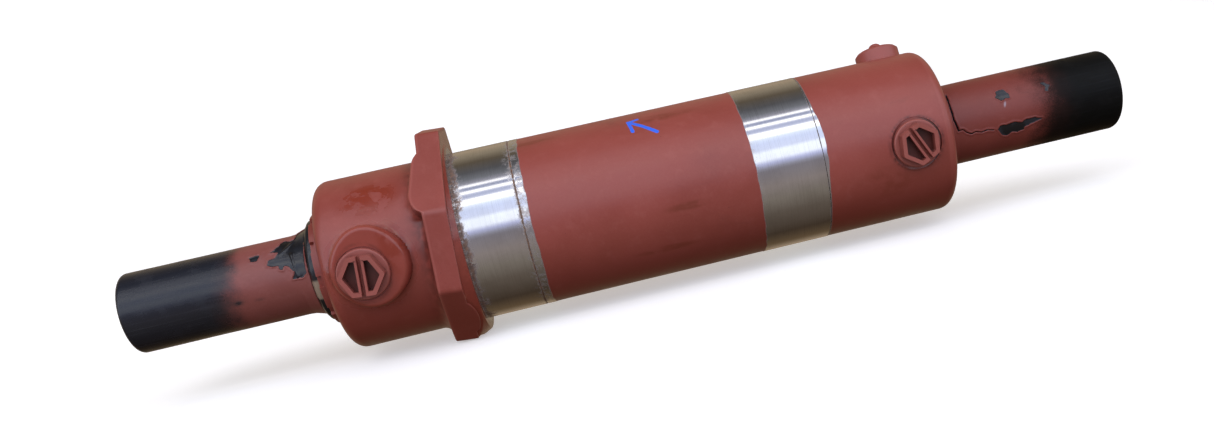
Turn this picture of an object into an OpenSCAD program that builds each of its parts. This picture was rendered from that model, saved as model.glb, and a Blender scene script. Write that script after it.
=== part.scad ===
// Double-rod steering cylinder: a flanged head, a plain tube with two bare
// seating bands, a second head, and a rod that passes right through.
// Frame: +X along the axis, from the flanged head to the plain head.
// The origin is on the axis, in the plane of the flange's seating face.
// -Y is the side the oil ports look to. +Z is up.

/* [Barrel] */
// Bore of the barrel, diameter
bore_d = 70; // [66:0.5:72]
// Outside diameter of the two bare bands that the clamps grip
band_d = 90; // [89.8:0.1:91]
// Outside diameter of the painted tube and heads
body_d = 89; // [88:0.1:89]
// Length of the bare register in front of the flange
register_l = 31.5; // [24:0.5:40]
// Start of the second bare band, from the flange face
band2_x0 = 152.7; // [140:0.1:156]
// End of the second bare band, from the flange face
band2_x1 = 188.8; // [180:0.1:189]
// Where the tube ends inside the plain head
tube_x1 = 188.8; // [188.8:0.1:189.5]

/* [Flanged head] */
// Outer face of the flanged head, from the flange face
lh_x0 = -70.2; // [-72:0.1:-69.8]
// Width of the eight-sided flange across its upright sides
flange_af = 110; // [108:0.5:116]
// Thickness of the flange
flange_t = 15.5; // [12:0.5:17]
// Width of the turned flat seat on the flange
seat_w = 5.5; // [4:0.5:6]
// Lean of the cast flange plate behind its turned seat, degrees
flange_lean = 3.5; // [0:0.5:4]
// Radius of the rounded outer edge of the flanged head
lh_round = 6.5; // [5:0.5:10]

/* [Plain head] */
// Outer face of the plain head, from the flange face
rh_x1 = 262; // [260:0.5:266]
// Radius of the rounded outer edge of the plain head
rh_round = 6; // [3:0.5:8]

/* [Rod and piston] */
// Diameter of the rod
rod_d = 36; // [35:0.5:36]
// Rod end on the flanged side, from the flange face, at mid-stroke
rod_x0 = -171; // [-173:0.5:-168]
// Rod end on the plain side, from the flange face, at mid-stroke
rod_x1 = 362; // [358:0.5:366]
// Width of the piston
piston_w = 36; // [30:1:40]
// Centre of the piston at mid-stroke
piston_x = 98; // [96:0.5:100]
// Radius of the threaded hole in each rod end, at its minor diameter
rod_thread_r = 9.25; // [8:0.25:9.5]
// Depth of the threaded hole in each rod end
rod_thread_l = 38; // [30:1:42]

/* [Ports] */
// Position of the port in the flanged head along the axis
lport_x = -48.6; // [-50:0.1:-46]
// Position of the port in the plain head along the axis
rport_x = 239.3; // [238:0.1:241]
// Radius of the port threads
port_r = 8.25; // [7.5:0.25:8.25]
// Width of a port plug's hollow hexagon across its flats
plug_af = 19.5; // [18.5:0.5:20.5]
// Angle of the bleed boss behind the vertical
bleed_a = 20; // [10:1:30]

/* [Sleeves] */
// Outside radius of the plastic sleeve on the flanged side
lsleeve_r = 21.1; // [20.6:0.1:22]
// Outside radius of the plastic sleeve on the plain side
rsleeve_r = 22.6; // [21.6:0.1:23.4]
// Outer end of the sleeve on the flanged side
lsleeve_x = -174.7; // [-180:0.1:-173.7]
// Outer end of the sleeve on the plain side
rsleeve_x = 369.6; // [368:0.1:376]

/* [Hidden] */
$fn = 96;
bore_r = bore_d / 2;
band_r = band_d / 2;
body_r = body_d / 2;
rod_r = rod_d / 2;
flange_r = flange_af / 2;
run = 0.05;                 // running clearance on the rod and in the bore
bore_x0 = -12;              // where the bore ends in the flanged head
bore_x1 = 208;              // where the bore ends in the plain head
spigot_r = 39.5;            // spigots of the heads inside the tube
spigot_l = 16;
bush_r = rod_r + 4;
plug_r = port_r - run;
lseat = 50.4;               // seat of the port plug, flanged head
rseat = 42.2;               // seat of the port plug, plain head
bleed_x = rport_x + 4.2;
notches = 10;               // spanner notches round the gland nut

// ---- shared shapes ----
// Solid of revolution about X from [x, r] points.
module rev(pts) {
    rotate([0, 90, 0]) rotate_extrude() polygon([for (p = pts) [p[1], p[0]]]);
}
// Shaft about X.
module bar(x0, x1, r) {
    translate([x0, 0, 0]) rotate([0, 90, 0]) cylinder(r = r, h = x1 - x0);
}
// Plain ring about X.
module ring(x0, x1, ri, ro) {
    difference() {
        bar(x0, x1, ro);
        bar(x0 - 1, x1 + 1, ri);
    }
}
// Ring of round section about X.
module o_ring(x, rm, rs) {
    translate([x, 0, 0]) rotate([0, 90, 0]) rotate_extrude() translate([rm, 0]) circle(r = rs);
}
// Hole or stub towards -Y, from depth y0 to y1.
module drill(x, y0, y1, r, z = 0) {
    translate([x, -y0, z]) rotate([90, 0, 0]) cylinder(r = r, h = y1 - y0);
}
// Points along a quarter round from angle a0 to a1.
function arc(cx, cr, rad, a0, a1, n = 10) =
    [for (i = [0:n]) let (a = a0 + (a1 - a0) * i / n) [cx + rad * cos(a), cr + rad * sin(a)]];
// Eight-sided prism along X, taller above the axis than below it.
module octagon(x0, x1, flat) {
    top = flat + 3.8;
    low = flat - 3.6;
    hi = (flat - 0.5) * sqrt(2);
    lo = (flat - 2.8) * sqrt(2);
    translate([x0, 0, 0]) rotate([90, 0, 90]) linear_extrude(height = x1 - x0)
        polygon([[hi - top, top], [flat, hi - flat], [flat, flat - lo], [lo - low, -low],
                 [low - lo, -low], [-flat, flat - lo], [-flat, hi - flat], [top - hi, top]]);
}

// ---- barrel ----
// Tube with the second bare band and a short bare land beside the register.
module barrel_tube() color([0.55, 0.27, 0.27]) difference() {
    union() {
        bar(register_l, tube_x1, body_r);
        bar(register_l, register_l + 4.4, band_r);
        bar(band2_x0, band2_x1, band_r);
    }
    bar(register_l - 1, tube_x1 + 1, bore_r);
    bar(register_l - 1, register_l + spigot_l, spigot_r);
    bar(tube_x1 - spigot_l, tube_x1 + 1, spigot_r);
}

// Cast head: eight-sided flange, ground register, port boss and gland pocket.
module flanged_head() color([0.57, 0.29, 0.29]) difference() {
    union() {
        rev(concat([[-8, 0], [lh_x0, 0], [lh_x0, body_r - lh_round]],
                   arc(lh_x0 + lh_round, body_r - lh_round, lh_round, 180, 90),
                   arc(-flange_t - 6, body_r + 6, 6, 270, 360),
                   [[-8, body_r + 6]]));
        // leaning flange plate, faced off in the plane of the seat
        intersection() {
            rotate([0, flange_lean, 0]) octagon(-flange_t, -3.6, flange_r);
            bar(-30, 0, 90);
        }
        // turned seat with a steep chamfer, kept within the plate's outline
        intersection() {
            rotate([0, flange_lean, 0]) octagon(-flange_t, 6, flange_r);
            rev([[-9, 0], [0, 0], [0, band_r + seat_w], [-4.5, band_r + seat_w + 3], [-9, band_r + seat_w + 3]]);
        }
        // pad on the upper front flat, standing out towards the head
        rotate([-45, 0, 0]) {
            for (s = [-1, 1]) translate([-11.5, -30, s * 8.5 - 1.5]) rotate([90, 0, 0])
                cylinder(r = 8.5, h = flange_r - 30.2);
            translate([-20, 0.2 - flange_r, -10]) cube([12, flange_r - 30.2, 17]);
        }
        // register and spigot
        bar(-1, register_l, band_r);
        bar(register_l - 1, register_l + spigot_l - 0.2, spigot_r - run);
        // port boss, cast a little off the port's own centre
        translate([lport_x + 3, 0, 2]) rotate([90, 0, 0]) rotate_extrude()
            polygon(concat([[0, 20], [19.5, 20]], arc(15.5, 46.8, 4, 0, 90), [[0, 50.8]]));
    }
    // bore, rod passage and bush seat
    bar(bore_x0, register_l + spigot_l + 1, bore_r);
    bar(lh_x0 - 5, 0, rod_r + 1);
    bar(bore_x0 - 3, bore_x0 + 1, 24);
    bar(-38, bore_x0 - 1, bush_r);
    // oil chamber
    bar(lport_x - 7.9, lport_x + 8.1, 24);
    // packing pocket and nut thread
    bar(-64.5, -58.2, 26);
    bar(lh_x0 - 5, -64, 29.45);
    // o-ring groove on the spigot
    ring(register_l + 8, register_l + 10.8, spigot_r - 2.25, spigot_r + 3);
    // port and its counterbore
    drill(lport_x, 22, 60, port_r);
    drill(lport_x, lseat - 1.95, 60, port_r + 2.05);
    drill(lport_x, lseat, 60, 13.4);
    // oil way from the port to the bore
    translate([lport_x, -30, 0]) rotate([0, 90, 0]) cylinder(r = 2.8, h = 42);
}

// Cast head with the second port and the bleed boss seat.
module plain_head() color([0.56, 0.28, 0.28]) difference() {
    union() {
        rev(concat([[tube_x1, 0], [tube_x1, body_r]],
                   arc(rh_x1 - rh_round, body_r - rh_round, rh_round, 90, 0),
                   [[rh_x1, 0]]));
        bar(tube_x1 - spigot_l + 0.2, tube_x1 + 1, spigot_r - run);
    }
    bar(tube_x1 - spigot_l - 1, bore_x1, bore_r);
    bar(bore_x1 - 1, rh_x1 + 5, rod_r + 1);
    bar(bore_x1 - 1, bore_x1 + 3, 24);
    bar(bore_x1 + 1, bore_x1 + 22, bush_r);
    bar(rport_x - 8.1, rport_x + 8.1, 24);
    bar(249.5, rh_x1 + 1, 27);
    ring(tube_x1 - 10.8, tube_x1 - 8, spigot_r - 2.25, spigot_r + 3);
    drill(rport_x, 22, 60, port_r);
    drill(rport_x, rseat - 1.95, 60, port_r + 2.05);
    drill(rport_x, rseat, 60, 13.9);
    translate([rport_x - 42, -30, 0]) rotate([0, 90, 0]) cylinder(r = 2.8, h = 42);
    // bleed way and the seat of the bleed boss
    rotate([-bleed_a, 0, 0]) translate([bleed_x, 0, 0]) {
        translate([0, 0, 20]) cylinder(r = 2, h = 30);
        translate([0, 0, 42]) cylinder(r = 12.55, h = 9);
    }
}

// ---- glands ----
// Slotted ring nut that holds the packings in the flanged head.
module left_gland_nut() color([0.58, 0.29, 0.29]) difference() {
    ring(-75.6, -64.05, 22.5, 29.4);
    bar(-78, -70, 27.05);
    for (i = [0:notches - 1]) rotate([i * 360 / notches + 22, 0, 0])
        translate([-77.6, 24, -2.6]) cube([4.4, 8, 5.2]);
}
// Screwed ring that holds the packings in the plain head, with two pin-spanner holes.
module right_gland_ring() color([0.56, 0.28, 0.28]) difference() {
    ring(256.2, rh_x1, 21.5, 26.95);
    bar(258.5, rh_x1 + 1, 23.5);
    for (s = [-1, 1]) translate([259.5, 0, s * 25.2]) rotate([0, 90, 0]) cylinder(r = 1.1, h = 5);
}
module left_rod_bush() color([0.72, 0.55, 0.3]) ring(-37.5, bore_x0 - 3, rod_r + run, bush_r);
module right_rod_bush() color([0.72, 0.55, 0.3]) ring(bore_x1 + 3, bore_x1 + 21.5, rod_r + run, bush_r);
// Lip seals with a groove in the pressure side.
module left_rod_seal() color([0.1, 0.2, 0.45])
    rev([[-62, rod_r + run], [-62, 25.95], [-58.3, 25.95], [-58.3, 23.6], [-60.2, 22], [-58.3, 20.4], [-58.3, rod_r + run]]);
module right_rod_seal() color([0.1, 0.2, 0.45])
    rev([[254, rod_r + run], [254, 26.9], [249.7, 26.9], [249.7, 24.2], [252, 22.4], [249.7, 20.6], [249.7, rod_r + run]]);
module left_backup_ring() color([0.85, 0.83, 0.75]) ring(-63.9, -62.1, rod_r + run, 25.9);
module right_backup_ring() color([0.85, 0.83, 0.75]) ring(254.1, 256, rod_r + run, 26.9);
// Wipers, standing a little way out of their rings.
module left_wiper() color([0.06, 0.06, 0.07])
    rev([[-70.1, rod_r + 1.2], [-70.1, 27], [-77.2, 27], [-78.6, 26], [-79.3, 24.2], [-79.3, rod_r + 1.6], [-78.6, rod_r + run], [-76.8, rod_r + run]]);
module right_wiper() color([0.06, 0.06, 0.07])
    rev([[258.6, rod_r + 1.2], [258.6, 23.4], [262.3, 23.4], [266, 20.8], [266, rod_r + run], [264.2, rod_r + run]]);
module left_head_o_ring() color([0.06, 0.06, 0.07]) o_ring(register_l + 9.4, spigot_r - 1.15, 1.08);
module right_head_o_ring() color([0.06, 0.06, 0.07]) o_ring(tube_x1 - 9.4, spigot_r - 1.15, 1.08);

// ---- rod and piston ----
// Ground rod with a threaded hole in each end and two ring grooves beside the piston.
module piston_rod() color([0.78, 0.78, 0.8]) difference() {
    rev([[rod_x0, 0], [rod_x0, rod_r - 1.5], [rod_x0 + 1.5, rod_r], [rod_x1 - 1.5, rod_r], [rod_x1, rod_r - 1.5], [rod_x1, 0]]);
    bar(rod_x0 - 1, rod_x0 + rod_thread_l, rod_thread_r);
    bar(rod_x1 - rod_thread_l, rod_x1 + 1, rod_thread_r);
    rev([[rod_x0 - 0.1, 0], [rod_x0 - 0.1, rod_thread_r + 1.6], [rod_x0 + 1.5, rod_thread_r], [rod_x0 + 1.5, 0]]);
    rev([[rod_x1 + 0.1, 0], [rod_x1 + 0.1, rod_thread_r + 1.6], [rod_x1 - 1.5, rod_thread_r], [rod_x1 - 1.5, 0]]);
    for (s = [-1, 1]) {
        xm = piston_x + s * (piston_w / 2 + 1.25);
        ring(xm - 1.25, xm + 1.25, rod_r - 1.2, rod_r + 2);
    }
}
module piston() color([0.6, 0.6, 0.62]) difference() {
    rev([[piston_x - piston_w / 2, rod_r], [piston_x - piston_w / 2, bore_r - 1.6], [piston_x - piston_w / 2 + 1.2, bore_r - 0.4],
         [piston_x + piston_w / 2 - 1.2, bore_r - 0.4], [piston_x + piston_w / 2, bore_r - 1.6], [piston_x + piston_w / 2, rod_r]]);
    ring(piston_x - 4, piston_x + 4, bore_r - 4, bore_r + 1);
    for (s = [-1, 1]) ring(piston_x + s * 10 - 2.5, piston_x + s * 10 + 2.5, bore_r - 2, bore_r + 1);
    bar(piston_x - 1.4, piston_x + 1.4, rod_r + 2.2);
}
module piston_seal() color([0.1, 0.2, 0.45]) ring(piston_x - 3.9, piston_x + 3.9, bore_r - 3.98, bore_r - run);
module piston_wear_rings() color([0.75, 0.7, 0.55])
    for (s = [-1, 1]) ring(piston_x + s * 10 - 2.45, piston_x + s * 10 + 2.45, bore_r - 1.98, bore_r - run);
module piston_o_ring() color([0.06, 0.06, 0.07]) o_ring(piston_x, rod_r + 1.1, 1.08);
module piston_retaining_rings() color([0.35, 0.35, 0.37])
    for (s = [-1, 1]) let (xm = piston_x + s * (piston_w / 2 + 1.25))
        ring(xm - 1.23, xm + 1.23, rod_r - 1.18, rod_r + 2.5);

// ---- ports ----
// Plug with a round flange and a hollow hexagon crossed by a slot between two webs.
module port_plug(x, seat, fl_r, fl_t, hex_h, turn) {
    translate([x, -seat - 0.03, 0]) rotate([90, 0, 0]) rotate([0, 0, turn]) difference() {
        union() {
            translate([0, 0, -15]) cylinder(r = plug_r, h = 16);
            rotate_extrude() polygon([[0, 0], [fl_r, 0], [fl_r, fl_t - 0.7], [fl_r - 0.7, fl_t], [0, fl_t]]);
            cylinder(r = plug_af / 2 / cos(30), h = fl_t + hex_h, $fn = 6);
        }
        difference() {
            translate([0, 0, fl_t + hex_h - 6]) cylinder(r = (plug_af / 2 - 2.1) / cos(30), h = 10, $fn = 6);
            translate([-2.2, -20, 0]) cube([4.4, 40, fl_t + hex_h - 0.6]);
        }
        translate([-0.8, -20, fl_t + hex_h - 5]) cube([1.6, 40, 10]);
        // hollow behind, open towards the oil
        translate([0, 0, -16]) cylinder(r = plug_r - 2.5, h = 14);
    }
}
module plug_ring(x, seat) {
    translate([x, -seat + 0.98, 0]) rotate([90, 0, 0]) rotate_extrude() translate([port_r + 1.02, 0]) circle(r = 0.94);
}
module left_port_plug() color([0.5, 0.2, 0.18]) port_plug(lport_x, lseat, 12.8, 3, 6.6, -5.5);
module right_port_plug() color([0.5, 0.2, 0.18]) port_plug(rport_x, rseat, 12.6, 3.8, 6.2, 26.6);
module left_plug_o_ring() color([0.06, 0.06, 0.07]) plug_ring(lport_x, lseat);
module right_plug_o_ring() color([0.06, 0.06, 0.07]) plug_ring(rport_x, rseat);

// Disc welded into its seat on the plain head, behind the vertical.
module bleed_boss() color([0.57, 0.28, 0.28])
    rotate([-bleed_a, 0, 0]) translate([bleed_x, 0, 42.02]) difference() {
        rotate_extrude() polygon([[0, 0], [12.5, 0], [12.5, 7.9], [11.3, 9.1], [6, 9.9], [0, 9.9]]);
        translate([0, 0, -1]) cylinder(r = 4, h = 12);
    }
module bleed_screw() color([0.55, 0.27, 0.27])
    rotate([-bleed_a, 0, 0]) translate([bleed_x, 0, 43.3]) difference() {
        rotate_extrude() polygon(concat([[0, 0], [2, 0], [4 - run, 2.2], [4 - run, 8.4], [3.2, 8.8], [3.2, 10]],
            [for (i = [0:6]) [3.5 * cos(15 * i), 10.4 + 2.2 * sin(15 * i)]]));
        translate([0, 0, 6]) cylinder(r = 0.9, h = 10);
    }

// ---- shipping sleeves ----
// Plastic tubes pushed on to both rod ends, with a bell mouth against the wiper.
module left_rod_sleeve() color([0.08, 0.08, 0.09])
    rev(concat([[-79.7, 22.2], [-79.7, 23.5], [-82, 22.6], [-86, lsleeve_r + 0.3], [-89, lsleeve_r]],
               arc(lsleeve_x + 2.6, lsleeve_r - 2.6, 2.6, 90, 180),
               [[lsleeve_x, rod_r + 0.3], [-86, rod_r + 0.3]]));
module right_rod_sleeve() color([0.08, 0.08, 0.09])
    rev(concat([[rh_x1 + 0.4, 26.6], [rh_x1 + 0.4, 27.6]],
               [for (i = [1:8]) [rh_x1 + 0.4 + 8 * i / 8, rsleeve_r + 5 * pow(1 - i / 8, 2)]],
               arc(rsleeve_x - 4, rsleeve_r - 4, 4, 90, 0),
               [[rsleeve_x, rod_r + 0.3], [rh_x1 + 9, rod_r + 0.3], [rh_x1 + 4.4, rod_r + 3.6]]));

barrel_tube();
flanged_head();
plain_head();
left_gland_nut();
right_gland_ring();
left_rod_bush();
right_rod_bush();
left_rod_seal();
right_rod_seal();
left_wiper();
right_wiper();
left_head_o_ring();
right_head_o_ring();
left_backup_ring();
right_backup_ring();
piston_rod();
piston();
piston_seal();
piston_wear_rings();
piston_o_ring();
piston_retaining_rings();
left_port_plug();
right_port_plug();
left_plug_o_ring();
right_plug_o_ring();
bleed_boss();
bleed_screw();
left_rod_sleeve();
right_rod_sleeve();
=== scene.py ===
import math
import bpy
import bmesh
import numpy as np
from mathutils import Matrix, Vector


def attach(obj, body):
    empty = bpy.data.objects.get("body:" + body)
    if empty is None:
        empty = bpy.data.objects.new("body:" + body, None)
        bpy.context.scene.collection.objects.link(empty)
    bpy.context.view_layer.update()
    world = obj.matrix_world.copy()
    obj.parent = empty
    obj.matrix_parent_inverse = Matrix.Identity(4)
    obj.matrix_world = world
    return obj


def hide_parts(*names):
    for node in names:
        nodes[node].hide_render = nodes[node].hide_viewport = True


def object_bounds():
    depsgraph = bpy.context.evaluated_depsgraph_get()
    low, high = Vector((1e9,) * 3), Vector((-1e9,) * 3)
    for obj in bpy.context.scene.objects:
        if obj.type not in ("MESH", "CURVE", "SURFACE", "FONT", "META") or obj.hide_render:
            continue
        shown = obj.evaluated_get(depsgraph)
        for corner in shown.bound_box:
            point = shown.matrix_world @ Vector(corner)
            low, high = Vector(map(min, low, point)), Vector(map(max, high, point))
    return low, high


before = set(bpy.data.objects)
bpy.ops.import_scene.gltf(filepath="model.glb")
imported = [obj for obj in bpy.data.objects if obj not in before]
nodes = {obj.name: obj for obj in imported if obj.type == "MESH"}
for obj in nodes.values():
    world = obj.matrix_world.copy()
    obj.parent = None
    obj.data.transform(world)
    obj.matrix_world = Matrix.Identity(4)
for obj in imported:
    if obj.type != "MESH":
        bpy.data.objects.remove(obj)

cad_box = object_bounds()
scene = bpy.context.scene
MM = 0.001
pi = math.pi


# ------------------------------------------------------------------ small maths
def smooth(a, b, x):
    t = np.clip((x - a) / (b - a), 0.0, 1.0)
    return t * t * (3 - 2 * t)


def lattice(ix, iy, seed):
    """Repeatable pseudo-random value in 0..1 for whole-number cells."""
    h = (ix.astype(np.int64) * 374761393 + iy.astype(np.int64) * 668265263 + seed * 2147483647) & 0xFFFFFFFF
    h = ((h ^ (h >> 13)) * 1274126177) & 0xFFFFFFFF
    h = h ^ (h >> 16)
    return (h & 0xFFFFFF) / float(0xFFFFFF)


def noise2(u, v, seed, wrap=None):
    """Smooth noise in -1..1. wrap makes v periodic over that many cells."""
    iu, iv = np.floor(u), np.floor(v)
    fu, fv = u - iu, v - iv
    fu, fv = fu * fu * (3 - 2 * fu), fv * fv * (3 - 2 * fv)
    def at(a, b):
        if wrap:
            b = np.mod(b, wrap)
        return lattice(a, b, seed)
    n = (at(iu, iv) * (1 - fu) + at(iu + 1, iv) * fu) * (1 - fv) + (at(iu, iv + 1) * (1 - fu) + at(iu + 1, iv + 1) * fu) * fv
    return n * 2 - 1


def around(x, th, cell_x, cells, seed, octaves=3):
    """Noise on a cylinder: x in mm with cells cell_x long, th in radians with a whole number of cells round."""
    out, amp, tot = 0.0, 1.0, 0.0
    for k in range(octaves):
        f = 2 ** k
        out = out + amp * noise2(x / cell_x * f + 17.3 * k, (th / (2 * pi)) * cells * f, seed + 31 * k, cells * f)
        tot += amp
        amp *= 0.5
    return out / tot


def seg_dist(px, py, ax, ay, bx, by):
    dx, dy = bx - ax, by - ay
    t = np.clip(((px - ax) * dx + (py - ay) * dy) / (dx * dx + dy * dy), 0, 1)
    return np.hypot(px - ax - t * dx, py - ay - t * dy)


def poly_dist(px, py, pts):
    """Signed distance to a closed outline, negative inside."""
    d = np.full(np.shape(px), 1e9)
    inside = np.zeros(np.shape(px), bool)
    n = len(pts)
    for i in range(n):
        (ax, ay), (bx, by) = pts[i], pts[(i + 1) % n]
        d = np.minimum(d, seg_dist(px, py, ax, ay, bx, by))
        if ay != by:
            cross = ((ay > py) != (by > py)) & (px < (bx - ax) * (py - ay) / (by - ay) + ax)
            inside ^= cross
    return np.where(inside, -d, d)


def wrap_deg(a):
    return (a + 180.0) % 360.0 - 180.0


# ------------------------------------------------------------------ mesh makers
def grid_mesh(name, P, close_rows=True, attrs=None, caps=False):
    """A mesh from points P[row, column, xyz] in mm. Columns wrap round; rows wrap if close_rows."""
    nr, nc, _ = P.shape
    me = bpy.data.meshes.new(name)
    idx = np.arange(nr * nc).reshape(nr, nc)
    rows = nr if close_rows else nr - 1
    r0 = idx[:rows]
    r1 = np.roll(idx, -1, axis=0)[:rows]
    quads = np.stack([r0, np.roll(r0, -1, axis=1), np.roll(r1, -1, axis=1), r1], axis=-1).reshape(-1, 4)
    faces = quads
    me.vertices.add(nr * nc)
    me.vertices.foreach_set("co", (P.reshape(-1, 3) * MM).astype(np.float32).ravel())
    nf = len(faces)
    me.loops.add(nf * 4)
    me.loops.foreach_set("vertex_index", faces.ravel().astype(np.int32))
    me.polygons.add(nf)
    me.polygons.foreach_set("loop_start", (np.arange(nf) * 4).astype(np.int32))
    me.polygons.foreach_set("use_smooth", np.ones(nf, bool))
    for k, a in (attrs or {}).items():
        at = me.attributes.new(k, "FLOAT", "POINT")
        at.data.foreach_set("value", np.ascontiguousarray(a, dtype=np.float32).ravel())
    me.update()
    me.validate()
    ob = bpy.data.objects.new(name, me)
    scene.collection.objects.link(ob)
    if caps:
        bm = bmesh.new()
        bm.from_mesh(me)
        bm.verts.ensure_lookup_table()
        for ring, flip in ((idx[0], False), (idx[-1], True)):
            vs = [bm.verts[i] for i in (ring if flip else ring[::-1])]
            f = bm.faces.new(vs)
            f.smooth = False
        bm.to_mesh(me)
        bm.free()
    bm = bmesh.new()
    bm.from_mesh(me)
    bmesh.ops.recalc_face_normals(bm, faces=bm.faces)
    bm.to_mesh(me)
    bm.free()
    return ob


def sharpen(ob, angle=38):
    """Marks edges sharper than the angle, so flats and corners shade crisply."""
    bm = bmesh.new()
    bm.from_mesh(ob.data)
    lim = math.radians(angle)
    for e in bm.edges:
        if len(e.link_faces) == 2:
            e.smooth = e.calc_face_angle(0) < lim
    bm.to_mesh(ob.data)
    bm.free()


def resample(pts, step):
    """Adds points along straight stretches so none is longer than step. step may be a function of x."""
    out = []
    for (a, b) in zip(pts[:-1], pts[1:]):
        n = max(1, int(math.ceil(math.hypot(b[0] - a[0], b[1] - a[1]) / (step((a[0] + b[0]) / 2) if callable(step) else step))))
        for i in range(n):
            out.append((a[0] + (b[0] - a[0]) * i / n, a[1] + (b[1] - a[1]) * i / n))
    out.append(pts[-1])
    return out


def arc(cx, cr, rad, a0, a1, n=8):
    return [(cx + rad * math.cos(math.radians(a0 + (a1 - a0) * i / n)), cr + rad * math.sin(math.radians(a0 + (a1 - a0) * i / n))) for i in range(n + 1)]


def axis_frame(axis):
    """Unit vectors (along, u, v) of a lathe."""
    a = np.array(axis, float)
    a /= np.linalg.norm(a)
    h = np.array([1.0, 0, 0]) if abs(a[0]) < 0.9 else np.array([0, -1.0, 0])
    u = h - (h @ a) * a
    u /= np.linalg.norm(u)
    return a, u, np.cross(a, u)


def lathe(name, profile, nseg=160, origin=(0, 0, 0), axis=(1, 0, 0), closed=True, radial=None, attrs=None, caps=False):
    """Turns a profile of (along, radius) points in mm about an axis. radial(along, r, th) may return a new radius."""
    a, u, v = axis_frame(axis)
    pr = np.array(profile, float)
    th = np.arange(nseg) / nseg * 2 * pi
    X = np.repeat(pr[:, :1], nseg, 1)
    R = np.repeat(pr[:, 1:], nseg, 1)
    T = np.repeat(th[None], len(pr), 0)
    if radial is not None:
        R = radial(X, R, T)
    P = np.array(origin)[None, None] + X[..., None] * a + (R * np.cos(T))[..., None] * u + (R * np.sin(T))[..., None] * v
    return grid_mesh(name, P, close_rows=closed, attrs={k: f(X, R, T) for k, f in (attrs or {}).items()}, caps=caps)


def cut(ob, cutter, op="DIFFERENCE", keep=False):
    m = ob.modifiers.new("cut", "BOOLEAN")
    m.operation = op
    m.object = cutter
    m.solver = "EXACT"
    bpy.context.view_layer.update()
    dg = bpy.context.evaluated_depsgraph_get()
    me = bpy.data.meshes.new_from_object(ob.evaluated_get(dg), preserve_all_data_layers=True, depsgraph=dg)
    ob.modifiers.clear()
    old = ob.data
    ob.data = me
    bpy.data.meshes.remove(old)
    if not keep:
        bpy.data.objects.remove(cutter)
    return ob


def bevel(ob, width, segments=2, angle=30):
    m = ob.modifiers.new("edge", "BEVEL")
    m.width = width * MM
    m.segments = segments
    m.limit_method = "ANGLE"
    m.angle_limit = math.radians(angle)
    m.harden_normals = False
    m.use_clamp_overlap = True
    return ob


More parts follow.
